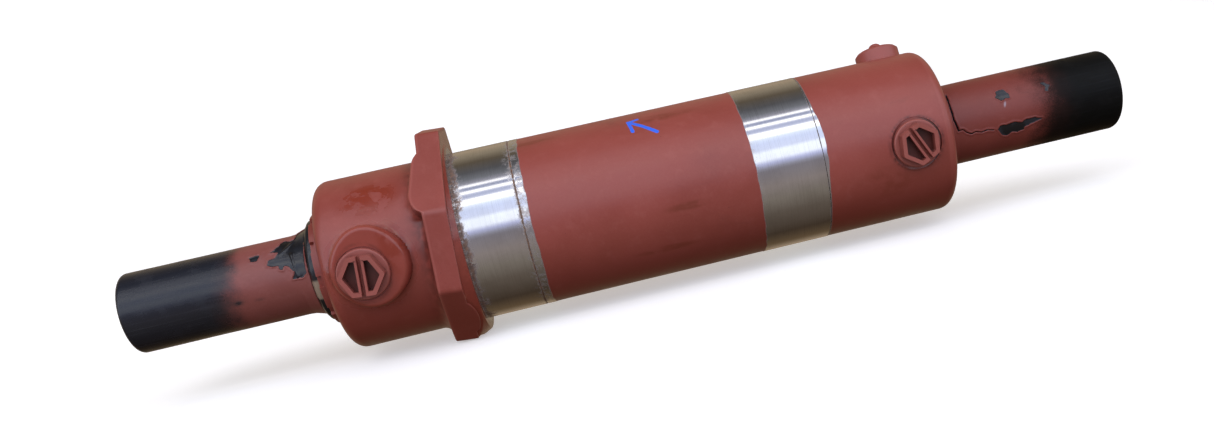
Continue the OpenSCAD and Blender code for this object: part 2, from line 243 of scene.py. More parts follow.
# ------------------------------------------------------------------ node helpers
class Tree:
    """Short calls for building a material's nodes."""

    def __init__(self, name):
        self.m = bpy.data.materials.new(name)
        self.m.use_nodes = True
        self.t = self.m.node_tree
        self.t.nodes.clear()
        self.out = self.t.nodes.new("ShaderNodeOutputMaterial")
        self.b = self.t.nodes.new("ShaderNodeBsdfPrincipled")
        self.t.links.new(self.b.outputs[0], self.out.inputs[0])
        tc = self.t.nodes.new("ShaderNodeTexCoord")
        self.obj = tc.outputs["Object"]
        s = self.t.nodes.new("ShaderNodeSeparateXYZ")
        self.t.links.new(self.obj, s.inputs[0])
        mx = lambda sock: self.math("MULTIPLY", sock, 1000.0)
        self.x, self.y, self.z = mx(s.outputs[0]), mx(s.outputs[1]), mx(s.outputs[2])
        neg = self.math("MULTIPLY", self.y, -1.0)
        # degrees from the -Y side towards +Z
        self.ang = self.math("MULTIPLY", self.math("ARCTAN2", self.z, neg), 180 / pi)
        self.rad = self.math("SQRT", self.math("ADD", self.math("MULTIPLY", self.y, self.y), self.math("MULTIPLY", self.z, self.z)))

    def put(self, sock, v):
        if hasattr(v, "is_output") or isinstance(v, bpy.types.NodeSocket):
            self.t.links.new(v, sock)
        else:
            if sock.type in ("RGBA",) and len(v) == 3:
                v = (*v, 1.0)
            sock.default_value = v

    def math(self, op, a, b=0.0, c=0.0, clamp=False):
        n = self.t.nodes.new("ShaderNodeMath")
        n.operation = op
        n.use_clamp = clamp
        for i, v in enumerate((a, b, c)):
            self.put(n.inputs[i], v)
        return n.outputs[0]

    def map(self, v, a, b, lo=0.0, hi=1.0, kind="SMOOTHSTEP"):
        n = self.t.nodes.new("ShaderNodeMapRange")
        n.interpolation_type = kind
        for i, q in enumerate((v, a, b, lo, hi)):
            self.put(n.inputs[i], q)
        return n.outputs[0]

    def mix(self, f, a, b, blend="MIX"):
        n = self.t.nodes.new("ShaderNodeMix")
        n.data_type = "RGBA"
        n.blend_type = blend
        n.clamp_factor = True
        self.put(n.inputs[0], f)
        self.put(n.inputs[6], a)
        self.put(n.inputs[7], b)
        return n.outputs[2]

    def noise(self, scale, detail=3.0, rough=0.55, vec=None, distort=0.0):
        """scale is cells per metre."""
        n = self.t.nodes.new("ShaderNodeTexNoise")
        n.inputs["Scale"].default_value = scale
        n.inputs["Detail"].default_value = detail
        n.inputs["Roughness"].default_value = rough
        n.inputs["Distortion"].default_value = distort
        self.t.links.new(vec if vec is not None else self.obj, n.inputs["Vector"])
        return n.outputs[0]

    def voronoi(self, scale, feature="F1", vec=None):
        n = self.t.nodes.new("ShaderNodeTexVoronoi")
        n.feature = feature
        n.inputs["Scale"].default_value = scale
        self.t.links.new(vec if vec is not None else self.obj, n.inputs["Vector"])
        return n.outputs[0]

    def stretch(self, sx, sy, sz, loc=(0, 0, 0)):
        n = self.t.nodes.new("ShaderNodeMapping")
        n.inputs["Scale"].default_value = (sx, sy, sz)
        n.inputs["Location"].default_value = loc
        self.t.links.new(self.obj, n.inputs["Vector"])
        return n.outputs[0]

    def combine(self, x, y, z):
        n = self.t.nodes.new("ShaderNodeCombineXYZ")
        for i, v in enumerate((x, y, z)):
            self.put(n.inputs[i], v)
        return n.outputs[0]

    def attr(self, name):
        n = self.t.nodes.new("ShaderNodeAttribute")
        n.attribute_name = name
        return n.outputs["Fac"]

    def bump(self, height, strength=0.3, distance=0.0005, normal=None):
        n = self.t.nodes.new("ShaderNodeBump")
        n.inputs["Strength"].default_value = strength
        n.inputs["Distance"].default_value = distance
        self.t.links.new(height, n.inputs["Height"])
        if normal is not None:
            self.t.links.new(normal, n.inputs["Normal"])
        return n.outputs[0]

    def blob(self, cx, ca, rx, ra, soft=0.5):
        """1 inside an ellipse in (x mm, angle deg) on the cylinder's side, fading out over its edge."""
        dx = self.math("DIVIDE", self.math("SUBTRACT", self.x, cx), rx)
        da = self.math("DIVIDE", self.math("SUBTRACT", self.ang, ca), ra)
        d = self.math("SQRT", self.math("ADD", self.math("MULTIPLY", dx, dx), self.math("MULTIPLY", da, da)))
        return self.map(d, 1.0 + soft, 1.0 - soft, 0.0, 1.0)

    def set(self, **kw):
        for k, v in kw.items():
            self.put(self.b.inputs[k.replace("_", " ")], v)

    def done(self):
        return self.m


def srgb(r, g, b):
    f = lambda c: c / 12.92 if c <= 0.04045 else ((c + 0.055) / 1.055) ** 2.4
    return (f(r / 255), f(g / 255), f(b / 255))


# ------------------------------------------------------------------ finishes
PAINT = (0.30, 0.060, 0.044)
PAINT_DARK = (0.19, 0.033, 0.021)
PAINT_LIGHT = (0.38, 0.105, 0.082)


def paint_layers(t, base=PAINT, dark=PAINT_DARK, light=PAINT_LIGHT):
    """Colour, roughness and height of the red-oxide primer, brushed and sprayed by hand."""
    big = t.noise(14, 3, 0.55)
    mid = t.noise(55, 4, 0.6)
    # brushed streaks run round the barrel
    streak = t.noise(30, 4, 0.6, vec=t.combine(t.math("MULTIPLY", t.x, 0.006), t.math("MULTIPLY", t.ang, 0.004), t.math("MULTIPLY", t.rad, 0.004)))
    fine = t.noise(900, 3, 0.6)
    peel = t.noise(420, 2, 0.5)
    col = t.mix(t.map(big, 0.36, 0.68, 0.62, 1.0), dark, base)
    col = t.mix(t.math("MULTIPLY", t.map(mid, 0.35, 0.72), 0.5), col, base)
    col = t.mix(t.math("MULTIPLY", t.map(streak, 0.5, 0.8), 0.3), col, light)
    col = t.mix(t.math("MULTIPLY", t.map(fine, 0.35, 0.75), 0.12), col, light)
    # specks of dust caught in the paint
    speck = t.voronoi(260)
    sm = t.math("MULTIPLY", t.map(speck, 0.11, 0.04), t.map(t.noise(70, 2, 0.5), 0.52, 0.68))
    col = t.mix(t.math("MULTIPLY", sm, 0.55), col, (0.09, 0.022, 0.016))
    # grime that settled in thin smears
    smear = t.map(t.noise(1, 5, 0.65, vec=t.stretch(28, 70, 70), distort=0.6), 0.6, 0.8)
    col = t.mix(t.math("MULTIPLY", smear, 0.35), col, (0.13, 0.035, 0.026))
    rough = t.map(t.math("ADD", t.math("MULTIPLY", mid, 0.6), t.math("MULTIPLY", streak, 0.4)), 0.3, 0.7, 0.30, 0.43)
    height = t.math("ADD", t.math("MULTIPLY", peel, 0.5), t.math("ADD", t.math("MULTIPLY", mid, 1.5), t.math("MULTIPLY", fine, 0.15)))
    height = t.math("ADD", height, t.math("MULTIPLY", sm, 0.6))
    return col, rough, height


def metal_layers(t):
    """Ground steel: turning lines round the axis, fingerprints and a little rust."""
    lines = t.noise(1, 4, 0.7, vec=t.combine(t.math("MULTIPLY", t.x, 9.0), t.math("MULTIPLY", t.ang, 0.012), 0.0))
    lines2 = t.noise(1, 3, 0.6, vec=t.combine(t.math("MULTIPLY", t.x, 2.2), t.math("MULTIPLY", t.ang, 0.03), 3.0))
    cloud = t.noise(60, 4, 0.65)
    haze = t.map(cloud, 0.42, 0.7)
    col = t.mix(t.math("MULTIPLY", haze, 0.4), (0.64, 0.635, 0.64), (0.50, 0.485, 0.475))
    col = t.mix(t.math("MULTIPLY", t.map(lines2, 0.45, 0.75), 0.3), col, (0.40, 0.385, 0.37))
    rough = t.map(t.math("ADD", lines, cloud), 0.75, 1.25, 0.035, 0.095)
    return col, rough, lines, lines2


def rust_colours(t):
    n = t.noise(700, 4, 0.65)
    return t.mix(t.map(n, 0.35, 0.65), (0.075, 0.03, 0.012), (0.23, 0.10, 0.04)), n


def barrel_finish(name, arrow=False):
    """Primer with the bare bands showing through, driven by the per-vertex masks bare and rust."""
    t = Tree(name)
    col, rough, h = paint_layers(t)
    # worn, thinner paint on outer corners; painted shade darkens the heads' inner corners and crevices, with grime
    # along the paint's cut edges
    edge = t.attr("edge")
    col = t.mix(t.math("MULTIPLY", edge, 0.5), col, PAINT_LIGHT)
    grime_and_crevice_shade = t.attr("grime_and_crevice_shade")
    dn = t.math("MULTIPLY", grime_and_crevice_shade, t.map(t.noise(240, 4, 0.6), 0.25, 0.6))
    col = t.mix(t.math("MULTIPLY", dn, 0.85), col, (0.05, 0.014, 0.010))
    # a redder, thicker coat in places
    glossy = t.attr("coat")
    col = t.mix(t.math("MULTIPLY", glossy, 0.55), col, (0.30, 0.055, 0.035))
    rough = t.math("SUBTRACT", rough, t.math("MULTIPLY", glossy, 0.2))
    mcol, mrough, lines, lines2 = metal_layers(t)
    rc, rn = rust_colours(t)
    rust = t.attr("rust")
    rspot = t.math("MULTIPLY", rust, t.map(t.math("ADD", t.noise(420, 4, 0.7), t.math("MULTIPLY", rust, 0.25)), 0.55, 0.72))
    rspot = t.math("MAXIMUM", rspot, t.map(rust, 0.82, 1.0))
    mcol = t.mix(rspot, mcol, rc)
    mrough = t.math("ADD", mrough, t.math("MULTIPLY", rspot, 0.5))
    stain = t.attr("stain")
    mcol = t.mix(t.math("MULTIPLY", stain, 0.5), mcol, (0.36, 0.29, 0.21))
    mrough = t.math("ADD", mrough, t.math("MULTIPLY", stain, 0.08))
    bare = t.attr("bare")
    if arrow:
        # two faint darker runs low on the front of the tube
        runs = None
        for cx, ca, rx, ra in ((115.0, -6.0, 11.0, 2.6), (100.0, -34.0, 15.0, 2.4), (112.0, 66.0, 16.0, 4.0), (45.0, 70.0, 12.0, 3.0)):
            k = t.blob(cx, ca, rx, ra, 0.5)
            runs = k if runs is None else t.math("MAXIMUM", runs, k)
        runs = t.math("MULTIPLY", runs, t.map(t.noise(1, 4, 0.65, vec=t.stretch(60, 160, 160), distort=0.4), 0.36, 0.54))
        col = t.mix(t.math("MULTIPLY", runs, 0.6), col, (0.17, 0.030, 0.012))
        # painted shade: the tube's underside is darker
        col = t.mix(t.math("MULTIPLY", t.map(t.math("ABSOLUTE", t.math("SUBTRACT", t.ang, -62.0)), 50.0, 12.0), 0.3), col, (0.17, 0.026, 0.014))
    else:
        # thick wet-looking paint on the shoulder of the flanged head and round its boss
        wet = t.math("MAXIMUM", t.blob(-40.5, 48.0, 14.0, 13.0, 0.35), t.math("MULTIPLY", t.blob(-33.0, 14.0, 5.0, 16.0, 0.5), 0.8))
        wet = t.math("MULTIPLY", wet, t.map(t.noise(95, 4, 0.6, distort=0.3), 0.40, 0.50))
        col = t.mix(t.math("MULTIPLY", wet, 0.85), col, (0.235, 0.030, 0.012))
        rough = t.math("SUBTRACT", rough, t.math("MULTIPLY", wet, 0.18))
        low = t.math("MULTIPLY", t.blob(222.0, -22.0, 16.0, 12.0, 0.5), t.map(t.noise(70, 4, 0.6), 0.42, 0.6))
        col = t.mix(t.math("MULTIPLY", low, 0.45), col, (0.19, 0.034, 0.016))
        # painted shade: the paint is darker under the heads
        col = t.mix(t.math("MULTIPLY", t.map(t.math("ABSOLUTE", t.math("SUBTRACT", t.ang, -60.0)), 52.0, 10.0), 0.4), col, (0.19, 0.026, 0.012))
    if arrow:
        # a blue marker arrow drawn by hand: shaft and two barbs
        px, py = t.x, t.math("MULTIPLY", t.ang, 44.8 * pi / 180)
        def seg(ax, aa, bx, ba, w):
            ay, by = aa * 44.8 * pi / 180, ba * 44.8 * pi / 180
            dx, dy = bx - ax, by - ay
            L = dx * dx + dy * dy
            ux, uy = t.math("SUBTRACT", px, ax), t.math("SUBTRACT", py, ay)
            k = t.math("DIVIDE", t.math("ADD", t.math("MULTIPLY", ux, dx), t.math("MULTIPLY", uy, dy)), L, clamp=True)
            ex = t.math("SUBTRACT", ux, t.math("MULTIPLY", k, dx))
            ey = t.math("SUBTRACT", uy, t.math("MULTIPLY", k, dy))
            d = t.math("SQRT", t.math("ADD", t.math("MULTIPLY", ex, ex), t.math("MULTIPLY", ey, ey)))
            return t.map(t.math("ADD", d, t.math("MULTIPLY", t.noise(350, 3, 0.6), 0.5)), w + 0.45, w + 0.05)
        a = None
        for s in ARROW:
            m = seg(*s)
            a = m if a is None else t.math("MAXIMUM", a, m)
        fade = t.map(t.noise(500, 3, 0.7), 0.2, 0.55, 0.75, 1.0)
        col = t.mix(t.math("MULTIPLY", a, fade), col, (0.030, 0.15, 0.86))
    # bump
    nb = t.bump(h, 0.22, 0.00035)
    ml = t.math("ADD", t.math("MULTIPLY", lines, 0.6), t.math("MULTIPLY", rspot, 2.0))
    nm = t.bump(ml, 0.12, 0.00012)
    mixn = t.t.nodes.new("ShaderNodeMix")
    mixn.data_type = "VECTOR"
    t.put(mixn.inputs[0], bare)
    t.put(mixn.inputs[4], nb)
    t.put(mixn.inputs[5], nm)
    t.set(Base_Color=t.mix(bare, col, mcol), Roughness=t.math("ADD", t.math("MULTIPLY", rough, t.math("SUBTRACT", 1.0, bare)), t.math("MULTIPLY", mrough, bare)),
          Metallic=t.math("MULTIPLY", bare, t.math("SUBTRACT", 1.0, t.math("MULTIPLY", rspot, 0.9))), Normal=mixn.outputs[1])
    return t.done()


# arrow segments: x mm, angle deg, x mm, angle deg, half width mm
ARROW = [(108.2, 50.5, 95.2, 68.0, 1.1), (95.2, 68.0, 100.2, 69.5, 0.95), (95.2, 68.0, 96.2, 55.5, 0.95)]


def primer_finish(name, dark=0.0):
    t = Tree(name)
    base = tuple(c * (1 - dark) for c in PAINT)
    col, rough, h = paint_layers(t, base=base)
    g = t.t.nodes.new("ShaderNodeNewGeometry")
    wear = t.map(g.outputs["Pointiness"], 0.52, 0.58)
    col = t.mix(t.math("MULTIPLY", wear, 0.35), col, PAINT_LIGHT)
    # painted shade: darker in creases, from the mesh's pointiness
    crevice_shade = t.map(g.outputs["Pointiness"], 0.48, 0.42)
    col = t.mix(t.math("MULTIPLY", crevice_shade, 0.7), col, (0.05, 0.014, 0.010))
    t.set(Base_Color=col, Roughness=rough, Normal=t.bump(h, 0.25, 0.00035))
    return t.done()


def sleeve_finish(name, side):
    """Black extruded plastic with overspray that fades along it, and torn spots in the paint film."""
    t = Tree(name)
    left = side < 0
    red, rrough, h = paint_layers(t, base=(0.245, 0.066, 0.054) if left else (0.21, 0.040, 0.029), dark=(0.16, 0.038, 0.028) if left else (0.12, 0.020, 0.013), light=(0.31, 0.11, 0.095) if left else (0.25, 0.065, 0.052))
    cover = t.attr("cover")
    bare = t.attr("torn")
    n1 = t.noise(1600, 3, 0.7)
    n2 = t.noise(180, 4, 0.6)
    c = t.math("ADD", cover, t.math("ADD", t.math("MULTIPLY", t.math("SUBTRACT", n1, 0.5), 0.55), t.math("MULTIPLY", t.math("SUBTRACT", n2, 0.5), 0.35)))
    m = t.map(c, 0.22, 0.85)
    lines = t.noise(1, 4, 0.6, vec=t.combine(t.math("MULTIPLY", t.x, 0.02), t.math("MULTIPLY", t.ang, 0.35), 0.0))
    dust = t.map(t.noise(130, 4, 0.65), 0.45, 0.75)
    # painted sheen: the left black is tinted blue, standing in for a bluish sheen on the plastic's own black
    black = t.mix(t.math("MULTIPLY", dust, 0.35), (0.009, 0.0105, 0.017) if left else (0.003, 0.003, 0.0028), (0.022, 0.024, 0.032) if left else (0.010, 0.009, 0.008))
    black = t.mix(t.math("MULTIPLY", t.map(lines, 0.5, 0.8), 0.35 if left else 0.12), black, (0.045, 0.046, 0.055))
    haze = t.math("MULTIPLY", t.map(cover, 0.0, 0.35), 0.5)
    black = t.mix(haze, black, (0.06, 0.024, 0.02) if left else (0.035, 0.011, 0.008))
    col = t.mix(m, black, red)
    tornm = t.map(bare, 0.35, 0.65)
    glossy = t.mix(t.map(t.noise(90, 3, 0.5), 0.45, 0.6), (0.006, 0.006, 0.008), (0.016, 0.018, 0.024))
    col = t.mix(tornm, col, glossy)
    pale = t.attr("pale")
    col = t.mix(t.math("MULTIPLY", t.map(pale, 0.3, 0.8), 0.85), col, (0.42, 0.36, 0.42))
    br = t.map(t.math("ADD", dust, lines), 0.4, 1.4, 0.25, 0.38) if left else t.map(t.math("ADD", dust, lines), 0.4, 1.4, 0.5, 0.66)
    rough = t.math("ADD", t.math("MULTIPLY", br, t.math("SUBTRACT", 1.0, m)), t.math("MULTIPLY", t.math("ADD", rrough, 0.06), m))
    rough = t.math("ADD", t.math("MULTIPLY", rough, t.math("SUBTRACT", 1.0, tornm)), t.math("MULTIPLY", tornm, 0.16))
    hh = t.math("ADD", t.math("MULTIPLY", h, 0.7), t.math("ADD", t.math("MULTIPLY", lines, 0.5), t.math("MULTIPLY", m, 0.4)))
    if left:
        t.set(Base_Color=col, Roughness=rough, Normal=t.bump(hh, 0.2, 0.00035))
    else:
        # the black end is chalky and hardly shines
        spec = t.math("ADD", 0.12, t.math("MULTIPLY", t.math("MAXIMUM", m, tornm), 0.3))
        t.set(Base_Color=col, Roughness=rough, Specular_IOR_Level=spec, Normal=t.bump(hh, 0.2, 0.00035))
    return t.done()


def plain_metal(name, colour, rough, coat=0.0, rust=0.15, lines=9.0, axis="x"):
    t = Tree(name)
    p = {"x": t.x, "y": t.y, "z": t.z}[axis]
    ln = t.noise(1, 4, 0.7, vec=t.combine(t.math("MULTIPLY", p, lines), t.math("MULTIPLY", t.ang, 0.01), 0.0))
    cloud = t.noise(90, 4, 0.6)
    col = t.mix(t.math("MULTIPLY", t.map(cloud, 0.4, 0.7), 0.5), colour, tuple(c * 0.72 for c in colour))
    rc, rn = rust_colours(t)
    rm = t.math("MULTIPLY", t.map(t.noise(150, 5, 0.7), 0.62, 0.74), rust)
    col = t.mix(rm, col, rc)
    t.set(Base_Color=col, Metallic=1.0, Roughness=t.map(t.math("ADD", ln, cloud), 0.7, 1.3, rough * 0.75, rough * 1.5), Normal=t.bump(ln, 0.15, 0.0001))
    return t.done()


def rubber(name, colour=(0.012, 0.012, 0.014), rough=0.28, dusty=0.3, rim=False):
    t = Tree(name)
    n = t.noise(220, 4, 0.65)
    col = t.mix(t.math("MULTIPLY", t.map(n, 0.5, 0.75), dusty), colour, tuple(c * 2.2 + 0.015 for c in colour))
    if rim:
        # a sliver of tan adhesive low on the front
        tan = t.math("MULTIPLY", t.map(t.math("ABSOLUTE", t.math("SUBTRACT", t.ang, -14.0)), 13.0, 9.0), t.map(t.rad, 24.6, 25.4))
        col = t.mix(t.math("MULTIPLY", tan, 0.85), col, (0.36, 0.27, 0.19))
    t.set(Base_Color=col, Roughness=t.map(n, 0.3, 0.7, rough * 0.8, rough * 1.35), Normal=t.bump(t.noise(500, 3, 0.5), 0.12, 0.0002))
    return t.done()


def plastic(name, colour, rough=0.38, mottled=0.2):
    t = Tree(name)
    n = t.noise(120, 4, 0.6)
    f = t.noise(1400, 2, 0.5)
    col = t.mix(t.math("MULTIPLY", t.map(n, 0.4, 0.75), mottled), colour, tuple(min(1, c * 0.7) for c in colour))
    ln = t.noise(1, 3, 0.6, vec=t.combine(t.math("MULTIPLY", t.x, 4.0), t.math("MULTIPLY", t.ang, 0.02), 0.0))
    t.set(Base_Color=col, Roughness=t.map(f, 0.3, 0.7, rough * 0.85, rough * 1.2), Normal=t.bump(t.math("ADD", f, ln), 0.1, 0.00015))
    return t.done()


def plug_finish(name):
    """Plastic plug painted over: primer on the outside, bare moulded plastic below its flange."""
    t = Tree(name)
    col, rough, h = paint_layers(t, base=(0.33, 0.088, 0.068), dark=(0.20, 0.042, 0.028))
    g = t.t.nodes.new("ShaderNodeNewGeometry")
    # painted shade: darker in creases, from the mesh's pointiness
    crevice_shade = t.map(g.outputs["Pointiness"], 0.49, 0.44)
    col = t.mix(t.math("MULTIPLY", crevice_shade, 0.75), col, (0.04, 0.012, 0.009))
    wear = t.map(g.outputs["Pointiness"], 0.52, 0.60)
    col = t.mix(t.math("MULTIPLY", wear, 0.4), col, PAINT_LIGHT)
    shank = t.attr("shank")
    # painted shade in the hexagon's pockets and round its foot
    col = t.mix(t.math("MULTIPLY", t.attr("pocket_shade"), 0.75), col, (0.085, 0.016, 0.010))
    pl = t.mix(t.map(t.noise(200, 3, 0.6), 0.4, 0.7), (0.30, 0.035, 0.022), (0.24, 0.028, 0.02))
    col = t.mix(shank, col, pl)
    rough = t.math("SUBTRACT", rough, t.math("MULTIPLY", shank, 0.08))
    t.set(Base_Color=col, Roughness=rough, Normal=t.bump(h, 0.25, 0.00035))
    return t.done()


# ------------------------------------------------------------------ the barrel's tube
def const(v):
    return lambda X, R, T: np.full(X.shape, float(v))


def to_ang(T):
    """Lathe angle to degrees from -Y towards +Z. The lathe's u is -Y and v is X cross u."""
    a, u, v = axis_frame((1, 0, 0))
    y = np.cos(T) * u[1] + np.sin(T) * v[1]
    z = np.cos(T) * u[2] + np.sin(T) * v[2]
    return np.degrees(np.arctan2(z, -y))


def paint_cover(X, ang):
    """1 where the tube and heads are painted, 0 on the bare bands, with the hand-masked edges' wobble."""
    th = np.radians(ang % 360)
    w = around(X * 0 + 5.0, th, 10.0, 14, 3, 3) * 0.8 + around(X * 0 + 9.0, th, 10.0, 60, 5, 2) * 0.28
    # band beside the flange
    e1 = 35.9 + w + 0.5 * smooth(60, 100, np.abs(ang)) - 0.6 * np.exp(-((ang - 12) / 10.0) ** 2)
    # second band: its left edge, its right edge past the joint groove
    w2 = around(X * 0 + 25.0, th, 10.0, 12, 7, 3) * 0.7 + around(X * 0 + 29.0, th, 10.0, 55, 9, 2) * 0.3
    e2 = 152.7 + w2
    # the right edge swells past the joint in the middle of the front
    w3 = around(X * 0 + 45.0, th, 10.0, 11, 11, 3) * 0.55 + around(X * 0 + 49.0, th, 10.0, 48, 13, 2) * 0.35
    bulge = np.exp(-((ang - 18) / 24.0) ** 2)
    e3 = 189.3 + 2.3 * bulge + w3 * (0.4 + 0.9 * bulge)
    s = 0.22
    c = smooth(e1 - s, e1 + s, X) * (1 - smooth(e2 - s, e2 + s, X)) + smooth(e3 - s, e3 + s, X)
    return np.clip(c, 0, 1)


PAINT_T = 0.32


def paint_r(X, ang, base):
    """Paint's own thickness, thicker in a rib at its cut edges, with sags and brush waves."""
    th = np.radians(ang % 360)
    c = paint_cover(X, ang)
    e = 4 * c * (1 - c)
    return base + c * (PAINT_T + 0.035 * around(X, th, 16.0, 18, 21, 3)) + 0.10 * e


def spaced(marks, fine, coarse, reach):
    """Rows along X: fine within reach of each mark, coarse elsewhere."""
    def step(x):
        d = min(abs(x - m) for m in marks)
        return fine if d < reach else min(coarse, fine + (d - reach) * 0.35)
    return step


def build_tube():
    step = spaced([35.9, 152.7, 188.8], 0.2, 2.0, 2.6)
    outer = resample([(31.5, 44.5), (188.8, 44.5)], 0.1)
    xs = [31.5]
    while xs[-1] < 188.8:
        xs.append(min(188.8, xs[-1] + step(xs[-1])))
    prof = [(31.5, 39.5), (31.5, 44.7)] + [(x, 44.8) for x in xs[1:-1]] + [(188.72, 44.8), (188.8, 44.6), (188.8, 39.5), (172.8, 39.5), (172.8, 35.0), (47.5, 35.0), (47.5, 39.5)]
    n_out = len(xs)
    nseg = 640

    def radial(X, R, T):
        ang = to_ang(T)
        out = R.copy()
        sel = slice(2, 2 + n_out - 2)
        land = 45.0
        c = paint_cover(X[sel], ang[sel])
        base = np.where((X[sel] < 37.5) | (X[sel] > 151.0), 45.0 - 0.5 * c, 44.5)
        base = np.where((X[sel] > 36.2) & (X[sel] < 38.5), np.minimum(base, 44.5 + 0.5 * (1 - c)), base)
        out[sel] = paint_r(X[sel], ang[sel], base)
        return out

    ob = lathe("barrel_shell", prof, nseg, radial=radial, attrs={
        "bare": lambda X, R, T: np.where(R > 44.2, 1 - paint_cover(X, to_ang(T)), 0.0),
        "rust": lambda X, R, T: np.where(R > 44.2, rust_mask(X, to_ang(T)), 0.5),
        "stain": lambda X, R, T: stain_mask(X, to_ang(T)),
        "edge": lambda X, R, T: np.zeros(X.shape),
        "grime_and_crevice_shade": lambda X, R, T: dirt_tube(X, to_ang(T)),
        "coat": const(0)})
    sharpen(ob, 40)
    return ob


def rust_mask(X, ang):
    th = np.radians(ang % 360)
    n = around(X, th, 6.0, 40, 61, 3)
    wob = around(X * 0 + 3.0, th, 10.0, 16, 63, 3)
    m = 1.0 * np.exp(-((X - 31.5 - 0.5 * wob) / 0.8) ** 2)          # the joint of tube and register
    m = np.maximum(m, 0.85 * smooth(6.5, 0.6, X + 3.5 * n) * (X < 20))  # beside the flange
    m = np.maximum(m, 0.42 * smooth(26.0, 31.0, X + 2 * n) * (X < 40))
    m = np.maximum(m, 0.25 * smooth(156, 152.7, X + 2 * n) * (X > 100))
    m = np.maximum(m, 0.75 * np.exp(-((X - 188.8) / 0.35) ** 2))
    return np.clip(m, 0, 1)


def stain_mask(X, ang):
    th = np.radians(ang % 360)
    n = around(X, th, 14.0, 12, 71, 4)
    top = smooth(62, 88, np.abs(wrap_deg(ang - 10)) )
    m = 0.55 * top * smooth(-0.5, 0.6, n)
    m = np.maximum(m, 0.5 * smooth(0.25, 0.7, n) * smooth(10, 40, X) * (X < 40))
    return np.clip(m, 0, 1)


def dirt_tube(X, ang):
    th = np.radians(ang % 360)
    c = 4 * paint_cover(X, ang) * (1 - paint_cover(X, ang))
    n = around(X, th, 20.0, 10, 81, 4)
    return np.clip(0.5 * c + 0.25 * smooth(0.35, 0.8, n), 0, 1)


# ------------------------------------------------------------------ the flanged head
FLATS = [(0, 55.0), (45, 54.5), (90, 58.8), (135, 54.5), (180, 55.0), (225, 52.2), (270, 51.4), (315, 52.2)]
LEAN = math.tan(math.radians(3.5))


def oct_r(ang, x=0.0):
    """Radius of the eight-sided outline at an angle, for the leaning plate's place x along the axis."""
    out = np.full(np.broadcast(ang, x).shape, 1e9)
    for f, h in FLATS:
        c = np.cos(np.radians(ang - f))
        out = np.where(c > 0.2, np.minimum(out, (h * math.cos(math.radians(3.5) * abs(math.sin(math.radians(f)))) - LEAN * x * math.sin(math.radians(f))) / np.maximum(c, 0.2)), out)
    return out


